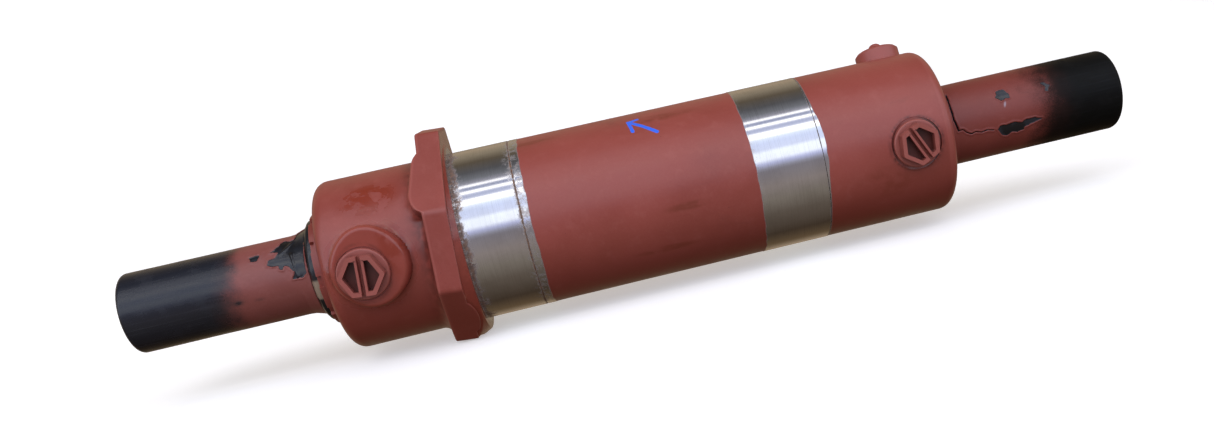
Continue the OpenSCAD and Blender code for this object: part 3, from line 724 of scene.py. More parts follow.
def build_left_head():
    nseg = 768
    th = np.arange(nseg) / nseg * 2 * pi
    ang = to_ang(th)
    sa = np.sin(np.radians(ang))
    # tangential place on the flat that faces up and forward (its middle at 45 degrees)
    tloc = 54.5 * np.tan(np.radians(np.clip(wrap_deg(ang - 45.0), -40, 40)))
    pad = np.where(tloc > -10.0, -19.4 + 0.17 * (tloc + 10.0), -19.4 + 5.6 * (1 - np.sqrt(np.clip(1 - ((tloc + 10.0) / 11.5) ** 2, 0, 1))))
    pad = np.where(tloc > 9.0, pad + 3.6 * (1 - np.sqrt(np.clip(1 - ((tloc - 9.0) / 7.5) ** 2, 0, 1))), pad)
    # the plate leans, so its back face runs forward towards the top
    xb = -15.5 + LEAN * 54.0 * sa
    xb = np.where((tloc < -21.5) | (tloc > 16.5), xb, np.minimum(xb, pad))
    ker = np.array([1, 2, 3, 2, 1.0]); ker /= ker.sum()
    xb = sum(k * np.roll(xb, i - 2) for i, k in enumerate(ker))

    def outline(x):
        """The octagon with its corners softened as a cast and painted edge."""
        q = oct_r(ang, x) - 0.04
        for _ in range(10):
            q = 0.25 * np.roll(q, 1) + 0.5 * q + 0.25 * np.roll(q, -1)
        return q

    ro = outline(-8.0)
    cols = []
    # segments of the profile, each a list of (x, r) functions evaluated at all angles
    rows = []
    kinds = []

    def add(x, r, kind):
        rows.append((np.broadcast_to(np.asarray(x, float), (nseg,)).copy(), np.broadcast_to(np.asarray(r, float), (nseg,)).copy()))
        kinds.append(kind)

    B = 44.8
    # inside, from the nut pocket out to the end face
    for x, r in [(-64.0, 29.45), (-69.3, 29.45), (-70.2, 30.3)]:
        add(x, r, "in")
    for r in np.linspace(30.8, 37.8, 9):
        add(-70.2, r, "face")
    for (x, r) in arc(-63.7, B - 6.5, 6.5, 180, 90, 18)[1:]:
        add(x, r, "body")
    xs = np.arange(-63.3, -27.0, 0.45)
    for x in xs:
        add(x, B, "body")
    # up to and round the cove; the flange's back face follows the pad
    e = 1.1   # paint-rounded outer edges of the flange
    rc = np.minimum(6.0, ro - e - 0.4 - B)
    x_c = xb - rc
    for k in range(1, 13):
        add(-27.2 + (x_c + 27.2) * k / 12, B, "cove")
    for k in range(1, 11):
        a = math.radians(90 * k / 10)
        add(x_c + rc * math.sin(a), B + rc * (1 - math.cos(a)), "cove")
    ro_b = outline(xb)
    for k in range(1, 6):
        add(xb, B + rc + (ro_b - e - B - rc) * k / 5, "back")
    for k in range(1, 7):
        a = math.radians(90 * k / 6)
        add(xb + e * (1 - math.cos(a)), ro_b - e * (1 - math.sin(a)), "rim")
    # front rim: the leaning plate's face, or the turned chamfer where that stands prouder
    lf = LEAN * sa
    ro_f = outline(-3.0)
    plate = np.minimum(-3.6 + lf * ro_f, -0.12)
    xr = np.where(ro_f <= 53.5, np.maximum(plate, -(ro_f - 50.5) * 1.5), plate)
    xr = np.minimum(xr, -0.12)
    for _ in range(3):
        xr = 0.25 * np.roll(xr, 1) + 0.5 * xr + 0.25 * np.roll(xr, -1)
    n_top = 16
    x_s = xb + e
    for k in range(1, n_top + 1):
        f = k / n_top
        add(x_s + (xr - 0.6 - x_s) * f, ro_b + (ro_f - ro_b) * f, "top")
    for k in range(1, 5):
        a = math.radians(90 * k / 4)
        add(xr - 0.6 + 0.6 * math.sin(a), ro_f - 0.6 * (1 - math.cos(a)), "lip")
    # across the plate's front face to the foot of the chamfer, then up it to the seat
    r_i = np.minimum(np.minimum(50.5 + (3.6 - lf * 52.5) / 1.5, 53.5), ro_f - 0.9)
    r_i = np.maximum(r_i, 50.3)
    x_i = np.minimum(np.maximum(-3.6 + lf * r_i, -(r_i - 50.5) * 1.5), -0.1)
    for k in range(1, 7):
        f = k / 6
        add(xr + (x_i - xr) * f, ro_f - 0.6 + (r_i - ro_f + 0.6) * f, "cone")
    r_s = np.minimum(50.35, r_i - 0.1)
    for k in range(1, 5):
        f = k / 5
        add(x_i + (-0.08 - x_i) * f, r_i + (r_s - r_i) * f, "cone")
    add(-0.08, r_s, "seat")
    for r in np.linspace(49.9, 45.9, 9):
        add(0.0, r, "seat")
    # undercut at the foot of the seat, then the register
    add(0.0, 45.35, "seat")
    add(0.12, 44.95, "reg")
    add(0.7, 44.9, "reg")
    add(1.0, 45.0, "reg")
    for x in np.arange(1.6, 31.0, 0.6):
        add(x, 45.0, "reg")
    add(31.1, 45.0, "reg")
    add(31.42, 44.85, "reg")
    add(31.5, 44.5, "reg")
    # spigot with its o-ring groove, then the bore and the passages back to the start
    for x, r in [(31.5, 39.45), (39.5, 39.45), (39.5, 37.25), (42.3, 37.25), (42.3, 39.45), (46.6, 39.45), (47.3, 38.8), (47.3, 35.0),
                 (-11.0, 35.0), (-12.0, 34.0), (-12.0, 24.0), (-15.0, 24.0), (-15.0, 22.0), (-38.0, 22.0), (-38.0, 19.0), (-40.7, 19.0), (-40.7, 24.0),
                 (-56.5, 24.0), (-56.5, 19.0), (-58.2, 19.0), (-58.2, 26.0), (-64.0, 26.0)]:
        add(x, r, "in")
    X = np.array([r[0] for r in rows])
    R = np.array([r[1] for r in rows])
    T = np.repeat(th[None], len(rows), 0)
    A = np.repeat(ang[None], len(rows), 0)
    kind = np.array(kinds)
    # port boss, raised from the body by a soft-shouldered disc whose top is flat and square to Y
    z = 47.5 * np.sin(np.radians(A))
    front = np.cos(np.radians(A)) > 0.5
    d = np.hypot(X + 45.6, z - 2.0) - 19.5
    outer = np.isin(kind, ["body", "cove", "face", "back"])[:, None]
    sh = np.clip((0.35 - d) / 3.9, 0, 1)
    lift = np.where(front & outer, np.sqrt(1 - (1 - sh) ** 2), 0.0)
    topr = 50.8 / np.maximum(np.cos(np.radians(A)), 0.5)
    # a broad shallow skirt where the casting blends into the boss
    skirt = np.where(front & outer, 0.55 * (1 - smooth(-0.3, 2.6, d)) * (1 - lift), 0.0)
    Rb = R + (topr - R) * lift + skirt
    R = np.where(front & outer, np.maximum(R, Rb), R)
    # the cast body is a little uneven under the paint
    cast = 0.10 * around(X, T, 24.0, 9, 91, 3) + 0.03 * around(X, T, 6.0, 40, 93, 2)
    painted = np.isin(kind, ["body", "cove", "back", "rim", "top", "lip", "cone"])[:, None]
    damp = np.where(d < 1.0, 0.35, 1.0)
    R = R + np.where(painted, cast * damp, 0.0)
    # stay inside the flats
    R = np.where(painted, np.minimum(R, np.where(np.isin(kind, ["top", "rim", "lip", "cone"])[:, None], oct_r(A, X) - 0.03, 99.0)), R)
    a, u, v = axis_frame((1, 0, 0))
    P = X[..., None] * a + (R * np.cos(T))[..., None] * u + (R * np.sin(T))[..., None] * v
    bare = np.zeros(X.shape)
    seat_edge = 47.2 + 1.3 * around(X * 0 + 2.0, T, 10, 24, 101, 3)
    bare = np.where((kind == "seat")[:, None], 1 - smooth(seat_edge - 0.6, seat_edge + 0.6, R), bare)
    bare = np.where((kind == "reg")[:, None], 1.0, bare)
    bare = np.where((kind == "in")[:, None], 1.0, bare)
    rust = np.where(np.isin(kind, ["reg"])[:, None], rust_mask(X, A), 0.0)
    rust = np.where((kind == "seat")[:, None], 0.55, rust)
    rust = np.where((kind == "in")[:, None], 0.25, rust)
    stain = np.where((kind == "reg")[:, None], stain_mask(X, A), 0.0)
    edge = np.zeros(X.shape)
    for k, w in (("rim", 0.8), ("lip", 0.9)):
        edge = np.where((kind == k)[:, None], w, edge)
    edge = np.maximum(edge, np.where(front & outer, 0.5 * np.exp(-((d + 1.2) / 0.7) ** 2), 0.0))
    # painted shade: darker in the cove, on the flange's back face, round the foot of the boss and the port's
    # spot-face, and on the chamfer and seat
    grime_and_crevice_shade = np.zeros(X.shape)
    grime_and_crevice_shade = np.where((kind == "cove")[:, None], 0.75 * smooth(-26, -16, X), grime_and_crevice_shade)
    grime_and_crevice_shade = np.where((kind == "back")[:, None], 0.35, grime_and_crevice_shade)
    grime_and_crevice_shade = np.maximum(grime_and_crevice_shade, np.where(front & outer, 0.8 * np.exp(-((d - 0.9) / 0.9) ** 2), 0.0))
    dp = np.hypot(X + 48.6, z) - 13.4
    grime_and_crevice_shade = np.maximum(grime_and_crevice_shade, np.where(front & outer, 0.95 * np.exp(-(dp / 0.7) ** 2), 0.0))
    grime_and_crevice_shade = np.where((kind == "cone")[:, None], 0.35, grime_and_crevice_shade)
    grime_and_crevice_shade = np.where((kind == "seat")[:, None], 0.6, grime_and_crevice_shade)
    coat = np.where(front & outer, 1 - smooth(0.5, 7.0, d), 0.0) * smooth(-0.9, 0.1, around(X, T, 12.0, 22, 111, 3))
    coat = np.maximum(coat, np.where((kind == "seat")[:, None] | (kind == "cone")[:, None], 0.9, 0.0))
    ob = grid_mesh("flanged_head_casting", P, attrs={"bare": bare, "rust": rust, "stain": stain, "edge": edge, "grime_and_crevice_shade": grime_and_crevice_shade, "coat": coat})
    return ob


def thread_profile(y0, y1, r_in, r_out, pitch):
    """Zigzag between two radii along a hole."""
    out = []
    n = int(abs(y1 - y0) / pitch)
    s = 1 if y1 > y0 else -1
    for i in range(n):
        out += [(y0 + s * pitch * i, r_in), (y0 + s * pitch * (i + 0.5), r_out)]
    out.append((y1, r_in))
    return out


def port_cutter(x, seat, spot_r):
    """Closed turned solid that takes out a port's spot-face, counterbore and threaded hole, about -Y."""
    prof = [(20.0, 0.01), (20.0, 8.25)] + thread_profile(22.0, seat - 2.6, 8.27, 9.0, 1.5)[:-1] + [(seat - 2.0, 8.27), (seat - 1.95, 10.3), (seat - 0.35, 10.32), (seat, 10.7), (seat, spot_r), (60.0, spot_r), (60.0, 0.01)]
    return lathe("cutter", prof, 128, origin=(x, 0, 0), axis=(0, -1, 0))


def build_right_head():
    nseg = 640
    prof = [(188.8, 39.45), (188.8, 44.3), (189.0, 44.72)]
    xs = [189.1]
    step = spaced([190.5], 0.2, 1.6, 3.0)
    while xs[-1] < 256.0:
        xs.append(min(256.0, xs[-1] + step(xs[-1])))
    i0 = len(prof)
    prof += [(x, 44.8) for x in xs]
    i1 = len(prof)
    prof += arc(256.0, 38.8, 6.0, 90, 0, 14)[1:]
    i2 = len(prof)
    prof += [(262.0, r) for r in np.linspace(37.0, 28.0, 10)]
    prof += [(261.6, 27.05), (249.5, 27.0), (249.5, 19.0), (247.4, 19.0), (247.4, 24.0), (231.2, 24.0), (231.2, 19.0), (230.0, 19.0), (230.0, 22.0), (211.0, 22.0), (211.0, 24.0), (208.0, 24.0), (208.0, 34.0), (207.0, 35.0),
             (173.0, 35.0), (173.0, 38.8), (173.7, 39.45), (178.0, 39.45), (178.0, 37.25), (180.8, 37.25), (180.8, 39.45)]

    def radial(X, R, T):
        ang = to_ang(T)
        out = R.copy()
        c = paint_cover(X[i0:i1], ang[i0:i1])
        out[i0:i1] = paint_r(X[i0:i1], ang[i0:i1], 45.0 - 0.5 * c) + 0.03 * around(X[i0:i1], T[i0:i1], 20.0, 10, 121, 3) * c
        return out

    def bare(X, R, T):
        b = np.where((R > 44.0) & (X < 200), 1 - paint_cover(X, to_ang(T)), 0.0)
        b[i2 + 10:] = 1.0
        b[:2] = 1.0
        return b

    def edge(X, R, T):
        e = np.zeros(X.shape)
        e[i1:i2] = 0.5
        return e

    def grime_and_crevice_shade(X, R, T):
        # painted shade: darker on the end face and round the port's spot-face, added to the tube's grime
        e = dirt_tube(X, to_ang(T))
        e[i2:i2 + 10] = 0.5
        ang = to_ang(T)
        z = 44.8 * np.sin(np.radians(ang))
        front = np.cos(np.radians(ang)) > 0.3
        d = np.hypot(X - 239.3, z) - 14.1
        return np.clip(np.maximum(e, np.where(front & (R > 40), 0.9 * np.exp(-(d / 0.8) ** 2), 0)), 0, 1)

    ob = lathe("plain_head_casting", prof, nseg, radial=radial, attrs={
        "bare": bare, "rust": lambda X, R, T: np.where(R > 44.2, rust_mask(X, to_ang(T)), 0.25), "stain": lambda X, R, T: stain_mask(X, to_ang(T)), "edge": edge,
        "grime_and_crevice_shade": grime_and_crevice_shade, "coat": const(0)})
    cut(ob, port_cutter(239.3, 42.2, 13.9))
    a = math.radians(20)
    ax = (0, math.sin(a), math.cos(a))
    c2 = lathe("cutter", [(20.0, 0.01), (20.0, 2.0), (42.0, 2.0), (42.0, 12.55), (52.0, 12.55), (52.0, 0.01)], 96, origin=(243.5, 0, 0), axis=ax)
    cut(ob, c2)
    sharpen(ob, 34)
    return ob


# ------------------------------------------------------------------ sleeves
def build_left_sleeve():
    r0 = 21.1
    inner = 18.3
    xs = list(np.arange(-172.1, -89.2, 0.45))
    prof = [(-174.7, 18.9)] + [(x, r) for x, r in arc(-172.1, r0 - 2.6, 2.6, 180, 90, 10)]
    prof += [(x, r0) for x in xs[1:]]
    i0, i1 = 11, len(prof)
    prof += resample([(-89.0, r0), (-86.0, r0 + 0.3), (-82.0, 22.6), (-79.95, 23.4)], 0.4)[1:]
    prof += [(-79.75, 23.3), (-79.7, 22.9), (-79.7, 22.3), (-86.0, inner), (-130.0, inner), (-174.3, inner)]
    nseg = 460
    torn = [(-97.5, 51), (-93.5, 60), (-91.0, 71.4), (-88.0, 66), (-85.3, 66.5), (-84.6, 80), (-82.3, 90), (-79.7, 91), (-79.3, 60), (-80.6, 30), (-81.0, 8),
            (-83.8, 3.0), (-88.2, 4.5), (-86.9, 13.8), (-89.4, 23.8), (-91.0, 24.8), (-92.2, 18.6), (-93.9, 20.5), (-94.2, 26.0), (-99.6, 30.0), (-99.0, 37.5), (-95.4, 40.0), (-93.5, 47.8)]
    spot = [(-108.1, 49.5), (-105.0, 51.6), (-103.0, 49.8), (-104.2, 41.0), (-107.6, 42.2)]
    chip = [(-117.6, -9.5), (-115.0, -11.0), (-115.4, -13.5), (-118.6, -12.8)]
    arcmm = r0 * pi / 180

    def masks(X, T):
        ang = to_ang(T)
        th = np.radians(ang % 360)
        jit = 0.5 * around(X, th, 1.6, 80, 131, 2)
        px, py = X, ang * arcmm
        f = lambda pts: poly_dist(px, py, [(x, a * arcmm) for x, a in pts]) + jit
        d = np.minimum(f(torn), f(spot))
        return ang, th, d

    def radial(X, R, T):
        ang, th, d = masks(X, T)
        out = R.copy()
        m = slice(i0, None)
        outer = (R > 20.6) & (X > -173.4)
        film = smooth(-136, -108, X)
        step = -0.28 * smooth(0.25, -0.25, d) * film
        # the film curls up along the tear
        lip = 0.38 * np.exp(-((d - 0.55) / 0.45) ** 2) * film
        # a fold standing out of the torn patch
        fold = seg_dist(X, ang * arcmm, -87.2, 40 * arcmm, -85.6, 6 * arcmm)
        ridge = 0.75 * np.exp(-(fold / 0.7) ** 2) * smooth(0.2, -0.6, d)
        fold2 = seg_dist(X, ang * arcmm, -92.5, 44 * arcmm, -86.0, 62 * arcmm)
        ridge = ridge + 0.4 * np.exp(-(fold2 / 0.8) ** 2) * smooth(0.2, -0.6, d)
        wave = 0.07 * around(X, th, 22.0, 7, 141, 3)
        out = out + np.where(outer, step + lip + ridge + wave, 0.0)
        # keep clear of the rod and inside the bell
        return np.where(R <= 18.5, R, out)

    def cover(X, R, T):
        ang, th, d = masks(X, T)
        w = around(X, th, 12.0, 9, 151, 3)
        c = smooth(-134.0, -104.0, X + 6.0 * w - 0.045 * (ang - 20))
        c = np.where(R > 20.0, c, 0.0)
        # faint smudges low on the front
        sm = np.exp(-((X + 106.5) / 3.6) ** 2 - ((ang + 13.5) / 4.0) ** 2) + np.exp(-((X + 117.2) / 2.2) ** 2 - ((ang + 12.0) / 3.5) ** 2)
        return np.clip(c - 0.42 * sm, 0, 1)

    ob = lathe("left_sleeve_tube", prof, nseg, radial=radial, attrs={
        "cover": cover,
        "torn": lambda X, R, T: np.where(R > 20.3, smooth(0.25, -0.25, masks(X, T)[2]), 0.0),
        "pale": const(0)})
    sharpen(ob, 50)
    return ob


def build_right_sleeve():
    r0 = 22.6
    inner = 18.3
    prof = [(262.4, 26.7), (262.45, 27.4), (262.7, 27.6)]
    prof += [(x, r) for x, r in resample([(263.2, 27.2), (264.6, 25.4), (266.4, 23.8), (268.2, 23.0), (270.4, r0)], 0.35)]
    i0 = len(prof)
    prof += [(x, r0) for x in np.arange(270.8, 365.4, 0.45)]
    prof += arc(365.6, r0 - 4, 4.0, 90, 0, 14)
    i1 = len(prof)
    prof += [(369.5, 18.4), (368.6, inner), (320.0, inner), (270.4, inner), (266.5, 21.2), (262.4, 23.8)]
    nseg = 480
    pa = [(295.3, 30), (296.9, 38.8), (299.0, 41.2), (301.4, 40.7), (303.2, 33.0), (303.4, 26.0), (300.4, 25.0), (298.0, 24.0)]
    pb = [(292.8, -15), (294.6, -10.2), (299.0, -11.0), (303.0, -9.8), (307.0, -12.0), (310.0, -9.5), (315.5, -10.0), (319.0, -13.5), (314.0, -17.2), (309.0, -19.5), (308.2, -24.0), (304.5, -26.5), (301.5, -23.5), (298.0, -27.5), (295.5, -26.0)]
    pc = [(322.8, 36.5), (325.0, 37.5), (327.5, 31.0), (325.6, 22.2), (324.0, 23.5), (325.0, 29.5)]
    arcmm = r0 * pi / 180
    crack = [(269.5, 52.0), (268.9, 30.1), (268.9, 12.2), (270.4, -4.0), (273.0, -3.6), (275.0, -9.0), (277.5, -12.4), (280.0, -10.8), (283.4, -13.4), (287.0, -12.2), (290.5, -14.4)]

    def masks(X, T):
        ang = to_ang(T)
        th = np.radians(ang % 360)
        jit = 0.45 * around(X, th, 1.6, 84, 161, 2)
        px, py = X, ang * arcmm
        f = lambda pts: poly_dist(px, py, [(x, a * arcmm) for x, a in pts]) + jit
        d = np.minimum(f(pa), np.minimum(f(pb), f(pc)))
        k = np.full(X.shape, 1e9)
        for i, (p, q) in enumerate(zip(crack[:-1], crack[1:])):
            k = np.minimum(k, seg_dist(px, py, p[0], p[1] * arcmm, q[0], q[1] * arcmm) + (0.0 if i < 3 else 0.28))
        return ang, th, d, k + 0.3 * jit

    def radial(X, R, T):
        ang, th, d, k = masks(X, T)
        outer = R > 20.0
        film = smooth(345, 310, X)
        step = -0.24 * smooth(0.25, -0.25, d) * film
        lip = 0.30 * np.exp(-((d - 0.5) / 0.4) ** 2) * film
        groove = -0.95 * np.exp(-(k / 0.42) ** 2)
        rise = 0.28 * np.exp(-((k - 1.0) / 0.5) ** 2)
        wave = 0.08 * around(X, th, 26.0, 6, 171, 3)
        out = R + np.where(outer & (X > 263.0), step + lip + groove + rise + wave * smooth(264, 272, X), 0.0)
        return np.where(R <= 18.6, R, np.minimum(out, np.where(X < 263.2, 27.6, 99)))

    def cover(X, R, T):
        ang, th, d, k = masks(X, T)
        w = around(X, th, 14.0, 8, 181, 3)
        c = 1 - smooth(299.0, 346.0, X + 9.0 * w + 0.10 * np.maximum(0, -ang - 5) - 0.02 * np.abs(ang - 60))
        return np.where(R > 20.0, np.clip(c, 0, 1), 0.0)

    def pale(X, R, T):
        ang, th, d, k = masks(X, T)
        return 0.7 * np.exp(-(((X - 299.6 - 0.12 * (ang - 19.0)) / 1.1) ** 2 + ((ang - 18.0) / 6.5) ** 2)) * (R > 20)

    ob = lathe("right_sleeve_tube", prof, nseg, radial=radial, attrs={
        "cover": cover,
        "torn": lambda X, R, T: np.where(R > 20.3, np.maximum(smooth(0.25, -0.25, masks(X, T)[2]), smooth(0.75, 0.3, masks(X, T)[3])), 0.0),
        "pale": pale})
    sharpen(ob, 50)
    return ob


# ------------------------------------------------------------------ glands, wipers
def build_left_wiper():
    prof = [(-70.1, 19.2), (-70.1, 27.0)] + resample([(-70.1, 27.0), (-76.9, 27.0)], 0.6)[1:] + arc(-76.9, 25.4, 1.6, 90, 168, 8)[1:] + [(-79.0, 25.2), (-79.28, 24.3), (-79.2, 23.2), (-78.6, 21.8), (-78.3, 20.6), (-78.9, 19.5), (-79.1, 18.6), (-78.6, 18.08), (-77.8, 18.05), (-77.0, 18.3), (-76.2, 19.2)]

    def radial(X, R, T):
        ang = to_ang(T)
        th = np.radians(ang % 360)
        lip = (X < -77.0) & (R > 20)
        return np.where(lip, np.minimum(R + 0.10 * around(X, th, 4.0, 22, 191, 2), 27.0), R)

    return lathe("left_wiper_lip", prof, 320, radial=radial)


def build_right_wiper():
    prof = [(258.6, 19.2), (258.6, 23.4)] + resample([(258.6, 23.4), (262.3, 23.4)], 0.5)[1:] + resample([(262.3, 23.4), (265.4, 21.3)], 0.5)[1:] + [(265.95, 20.7), (266.0, 19.9), (265.9, 18.5), (265.4, 18.06), (264.2, 18.06), (263.4, 18.3), (262.4, 19.0)]
    return lathe("right_wiper_lip", prof, 240)


def build_nut():
    """Slotted ring nut in the flanged head, its notches open to the outside."""
    prof = [(-64.05, 22.5), (-64.05, 29.2), (-64.3, 29.4)] + resample([(-64.3, 29.4), (-75.2, 29.4)], 0.35)[1:] + [(-75.5, 29.2), (-75.6, 28.9)] + [(-75.6, r) for r in np.linspace(28.6, 27.3, 5)] + [(-75.4, 27.06), (-70.0, 27.05), (-70.0, 22.5)]
    nseg = 600

    def radial(X, R, T):
        ang = to_ang(T)
        out = R.copy()
        k = np.zeros(X.shape, bool)
        for i in range(10):
            c = wrap_deg(90 - (i * 36 + 22) - ang)
            k |= np.abs(np.radians(c) * 28.5) < 2.6
        deep = k & (X < -73.2) & (R > 27.2)
        return np.where(deep, np.minimum(R, 27.35), out)

    ob = lathe("left_gland_ring_nut", prof, nseg, radial=radial)
    sharpen(ob, 34)
    return ob


# ------------------------------------------------------------------ port plugs
def build_plug(name, x, seat, fl_r, fl_t, hex_h, turn):
    """Moulded plug: threaded shank, round flange, hollow hexagon crossed by a slot between two webs."""
    base = seat + 0.03
    sh = []
    # helical thread on the shank: rows along it, crest and root set from the turn angle
    pitch = 1.5
    nseg = 144
    n = 15.0
    shank_rows = np.arange(-15.0, -0.5, 0.19)
    prof = [(-15.0, 5.7), (-15.0, 6.6)] + [(s, 8.2) for s in shank_rows] + [(-0.5, 7.6), (-0.35, 7.6), (0.0, 7.7), (0.0, 8.4)]
    k = len(prof)
    prof += [(0.0, fl_r - 0.6), (0.25, fl_r - 0.15), (0.5, fl_r)] + [(fl_t - 0.9, fl_r), (fl_t - 0.45, fl_r - 0.12), (fl_t - 0.12, fl_r - 0.45), (fl_t, fl_r - 0.9)]
    prof += [(fl_t, 8.6), (fl_t - 0.6, 7.6), (fl_t - 0.6, 0.02), (-2.0, 0.02), (-2.0, 5.7)]

    def radial(X, R, T):
        out = R.copy()
        s = X[2:2 + len(shank_rows)]
        ph = (s / pitch + T[2:2 + len(shank_rows)] / (2 * pi)) % 1.0
        tri = np.abs(ph * 2 - 1)
        depth = 0.85 * np.clip((tri - 0.12) / 0.76, 0, 1)
        fade = smooth(-15.0, -13.6, s) * smooth(-0.6, -1.6, s)
        out[2:2 + len(shank_rows)] = 8.2 - depth * fade - 0.85 * (1 - fade) * smooth(-0.4, -1.8, -np.abs(s + 15.0)) * (s < -13)
        return out

    ob = lathe(name, prof, nseg, origin=(x, -base, 0), axis=(0, -1, 0), radial=radial)
    # hexagon with a hollow, webs and a slot, modelled with bmesh then joined
    top = fl_t + hex_h
    a, u, v = axis_frame((0, -1, 0))
    o = np.array((x, -base, 0.0))

    def place(p):
        c, s = math.cos(math.radians(turn)), math.sin(math.radians(turn))
        # OpenSCAD's rotate([90,0,0]) takes x to x, y to z, z to -y
        px, py = p[0] * c - p[1] * s, p[0] * s + p[1] * c
        return (np.array([x + px, -base - p[2], py]) * MM)

    def prism(nm, pts, z0, z1):
        bm = bmesh.new()
        lo = [bm.verts.new(place((p[0], p[1], z0))) for p in pts]
        hi = [bm.verts.new(place((p[0], p[1], z1))) for p in pts]
        m = len(pts)
        bm.faces.new(lo[::-1])
        bm.faces.new(hi)
        for i in range(m):
            bm.faces.new((lo[i], lo[(i + 1) % m], hi[(i + 1) % m], hi[i]))
        bmesh.ops.recalc_face_normals(bm, faces=bm.faces)
        me = bpy.data.meshes.new(nm)
        bm.to_mesh(me)
        bm.free()
        q = bpy.data.objects.new(nm, me)
        scene.collection.objects.link(q)
        return q

    def ngon(r, rnd):
        """Hexagon with its corners rounded, circumradius r."""
        pts = []
        for i in range(6):
            ac = i * 60
            c = np.array((math.cos(math.radians(ac)), math.sin(math.radians(ac)))) * (r - rnd / math.cos(math.radians(30)))
            for j in range(5):
                b = math.radians(ac - 30 + 60 * j / 4)
                pts.append((c[0] + rnd * math.cos(b), c[1] + rnd * math.sin(b)))
        return pts

    af = 19.5
    hexo = prism("hexo", ngon(af / 2 / math.cos(pi / 6), 1.0), fl_t - 0.5, top)
    inner = ngon((af / 2 - 2.1) / math.cos(pi / 6), 0.7)
    left = [p for p in inner]
    # the hollow is split by the webs into two halves
    def half(sign):
        pts = [(max(p[0] * sign, 2.2), p[1]) for p in inner]
        out = []
        for p in pts:
            if not out or math.hypot(out[-1][0] - p[0], out[-1][1] - p[1]) > 1e-4:
                out.append(p)
        if math.hypot(out[0][0] - out[-1][0], out[0][1] - out[-1][1]) < 1e-4:
            out.pop()
        # drop points that only run along the web's wall
        keep = []
        m = len(out)
        for i in range(m):
            a0, b0, c0 = out[i - 1], out[i], out[(i + 1) % m]
            if abs(a0[0] - 2.2) < 1e-6 and abs(b0[0] - 2.2) < 1e-6 and abs(c0[0] - 2.2) < 1e-6:
                continue
            keep.append((b0[0] * sign, b0[1]))
        return keep
    for sgn in (1, -1):
        cut(hexo, prism("pocket", half(sgn), top - 6.0, top + 4))
    cut(hexo, prism("lower", [(-1.0, -30), (1.0, -30), (1.0, 30), (-1.0, 30)], top - 5.0, top + 4))
    cut(hexo, prism("trim", [(p[0], p[1]) for p in [(-2.3, -8.0), (2.3, -8.0), (2.3, 8.0), (-2.3, 8.0)]], top - 0.6, top + 4))
    cut(ob, hexo, "UNION")
    # paint-softened corners
    bm = bmesh.new()
    bm.from_mesh(ob.data)
    bmesh.ops.remove_doubles(bm, verts=bm.verts, dist=0.00002)
    bmesh.ops.dissolve_degenerate(bm, edges=bm.edges, dist=0.00002)
    bm.to_mesh(ob.data)
    bm.free()
    co = np.empty(len(ob.data.vertices) * 3, np.float32)
    ob.data.vertices.foreach_get("co", co)
    depth = -co.reshape(-1, 3)[:, 1] / MM - base
    at = ob.data.attributes.new("shank", "FLOAT", "POINT")
    at.data.foreach_set("value", (depth < -0.1).astype(np.float32))
    q = co.reshape(-1, 3) / MM
    away = np.hypot(q[:, 0] - x, q[:, 2])
    # painted shade: darker in the pockets and round the foot of the hexagon
    pocket_shade = np.where(away < 9.3, smooth(top - 0.9, top - 3.0, depth) * (depth > 0.5), 0.0)
    pocket_shade = np.maximum(pocket_shade, 0.55 * np.exp(-((away - 10.8) / 0.8) ** 2) * (np.abs(depth - fl_t) < 0.4))
    pt = ob.data.attributes.new("pocket_shade", "FLOAT", "POINT")
    pt.data.foreach_set("value", pocket_shade.astype(np.float32))
    bevel(ob, 0.32, 2, 38)
    for p in ob.data.polygons:
        p.use_smooth = True
    sharpen(ob, 40)
    return ob


# ------------------------------------------------------------------ assemble
mats = {
    "barrel": barrel_finish("primer_barrel", arrow=True),
    "head": barrel_finish("primer_heads"),
    "primer": primer_finish("primer"),
    "primer_low": primer_finish("primer_gland", 0.12),
    "sleeve_l": sleeve_finish("sleeve_left", -1),
    "sleeve_r": sleeve_finish("sleeve_right", 1),
    "rubber": rubber("seal_rubber", rough=0.3),
    "wiper": rubber("wiper_rubber", rough=0.17, dusty=0.15, rim=True),
    "poly": plastic("seal_poly", (0.045, 0.10, 0.30), 0.35),
    "ring": plastic("ring_plastic", (0.62, 0.56, 0.43), 0.5),
    "bronze": plain_metal("bronze", (0.62, 0.40, 0.17), 0.28, rust=0.0),
    "chrome": plain_metal("rod_chrome", (0.72, 0.73, 0.75), 0.09, rust=0.05, lines=14.0),
    "steel": plain_metal("steel", (0.5, 0.5, 0.51), 0.3, rust=0.5),
    "plug": plug_finish("plug_plastic"),
}


def finish_node(name, mat):
    ob = nodes[name]
    ob.data.materials.clear()
    ob.data.materials.append(mat)
    return ob


tube = build_tube()
tube.data.materials.append(mats["barrel"])
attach(tube, "barrel"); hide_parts("barrel_tube")

lhead = build_left_head()
cut(lhead, port_cutter(-48.6, 50.4, 13.4))
sharpen(lhead, 34)
lhead.data.materials.append(mats["head"])
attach(lhead, "barrel"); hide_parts("flanged_head")

rhead = build_right_head()
rhead.data.materials.append(mats["head"])
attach(rhead, "barrel"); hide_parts("plain_head")

ls = build_left_sleeve()
ls.data.materials.append(mats["sleeve_l"])
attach(ls, "left_sleeve"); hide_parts("left_rod_sleeve")
rs = build_right_sleeve()
rs.data.materials.append(mats["sleeve_r"])
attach(rs, "right_sleeve"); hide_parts("right_rod_sleeve")

lw = build_left_wiper()
lw.data.materials.append(mats["wiper"])
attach(lw, "barrel"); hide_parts("left_wiper")
rw = build_right_wiper()
rw.data.materials.append(mats["rubber"])
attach(rw, "barrel"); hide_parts("right_wiper")
nut = build_nut()
nut.data.materials.append(mats["primer_low"])
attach(nut, "barrel"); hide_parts("left_gland_nut")

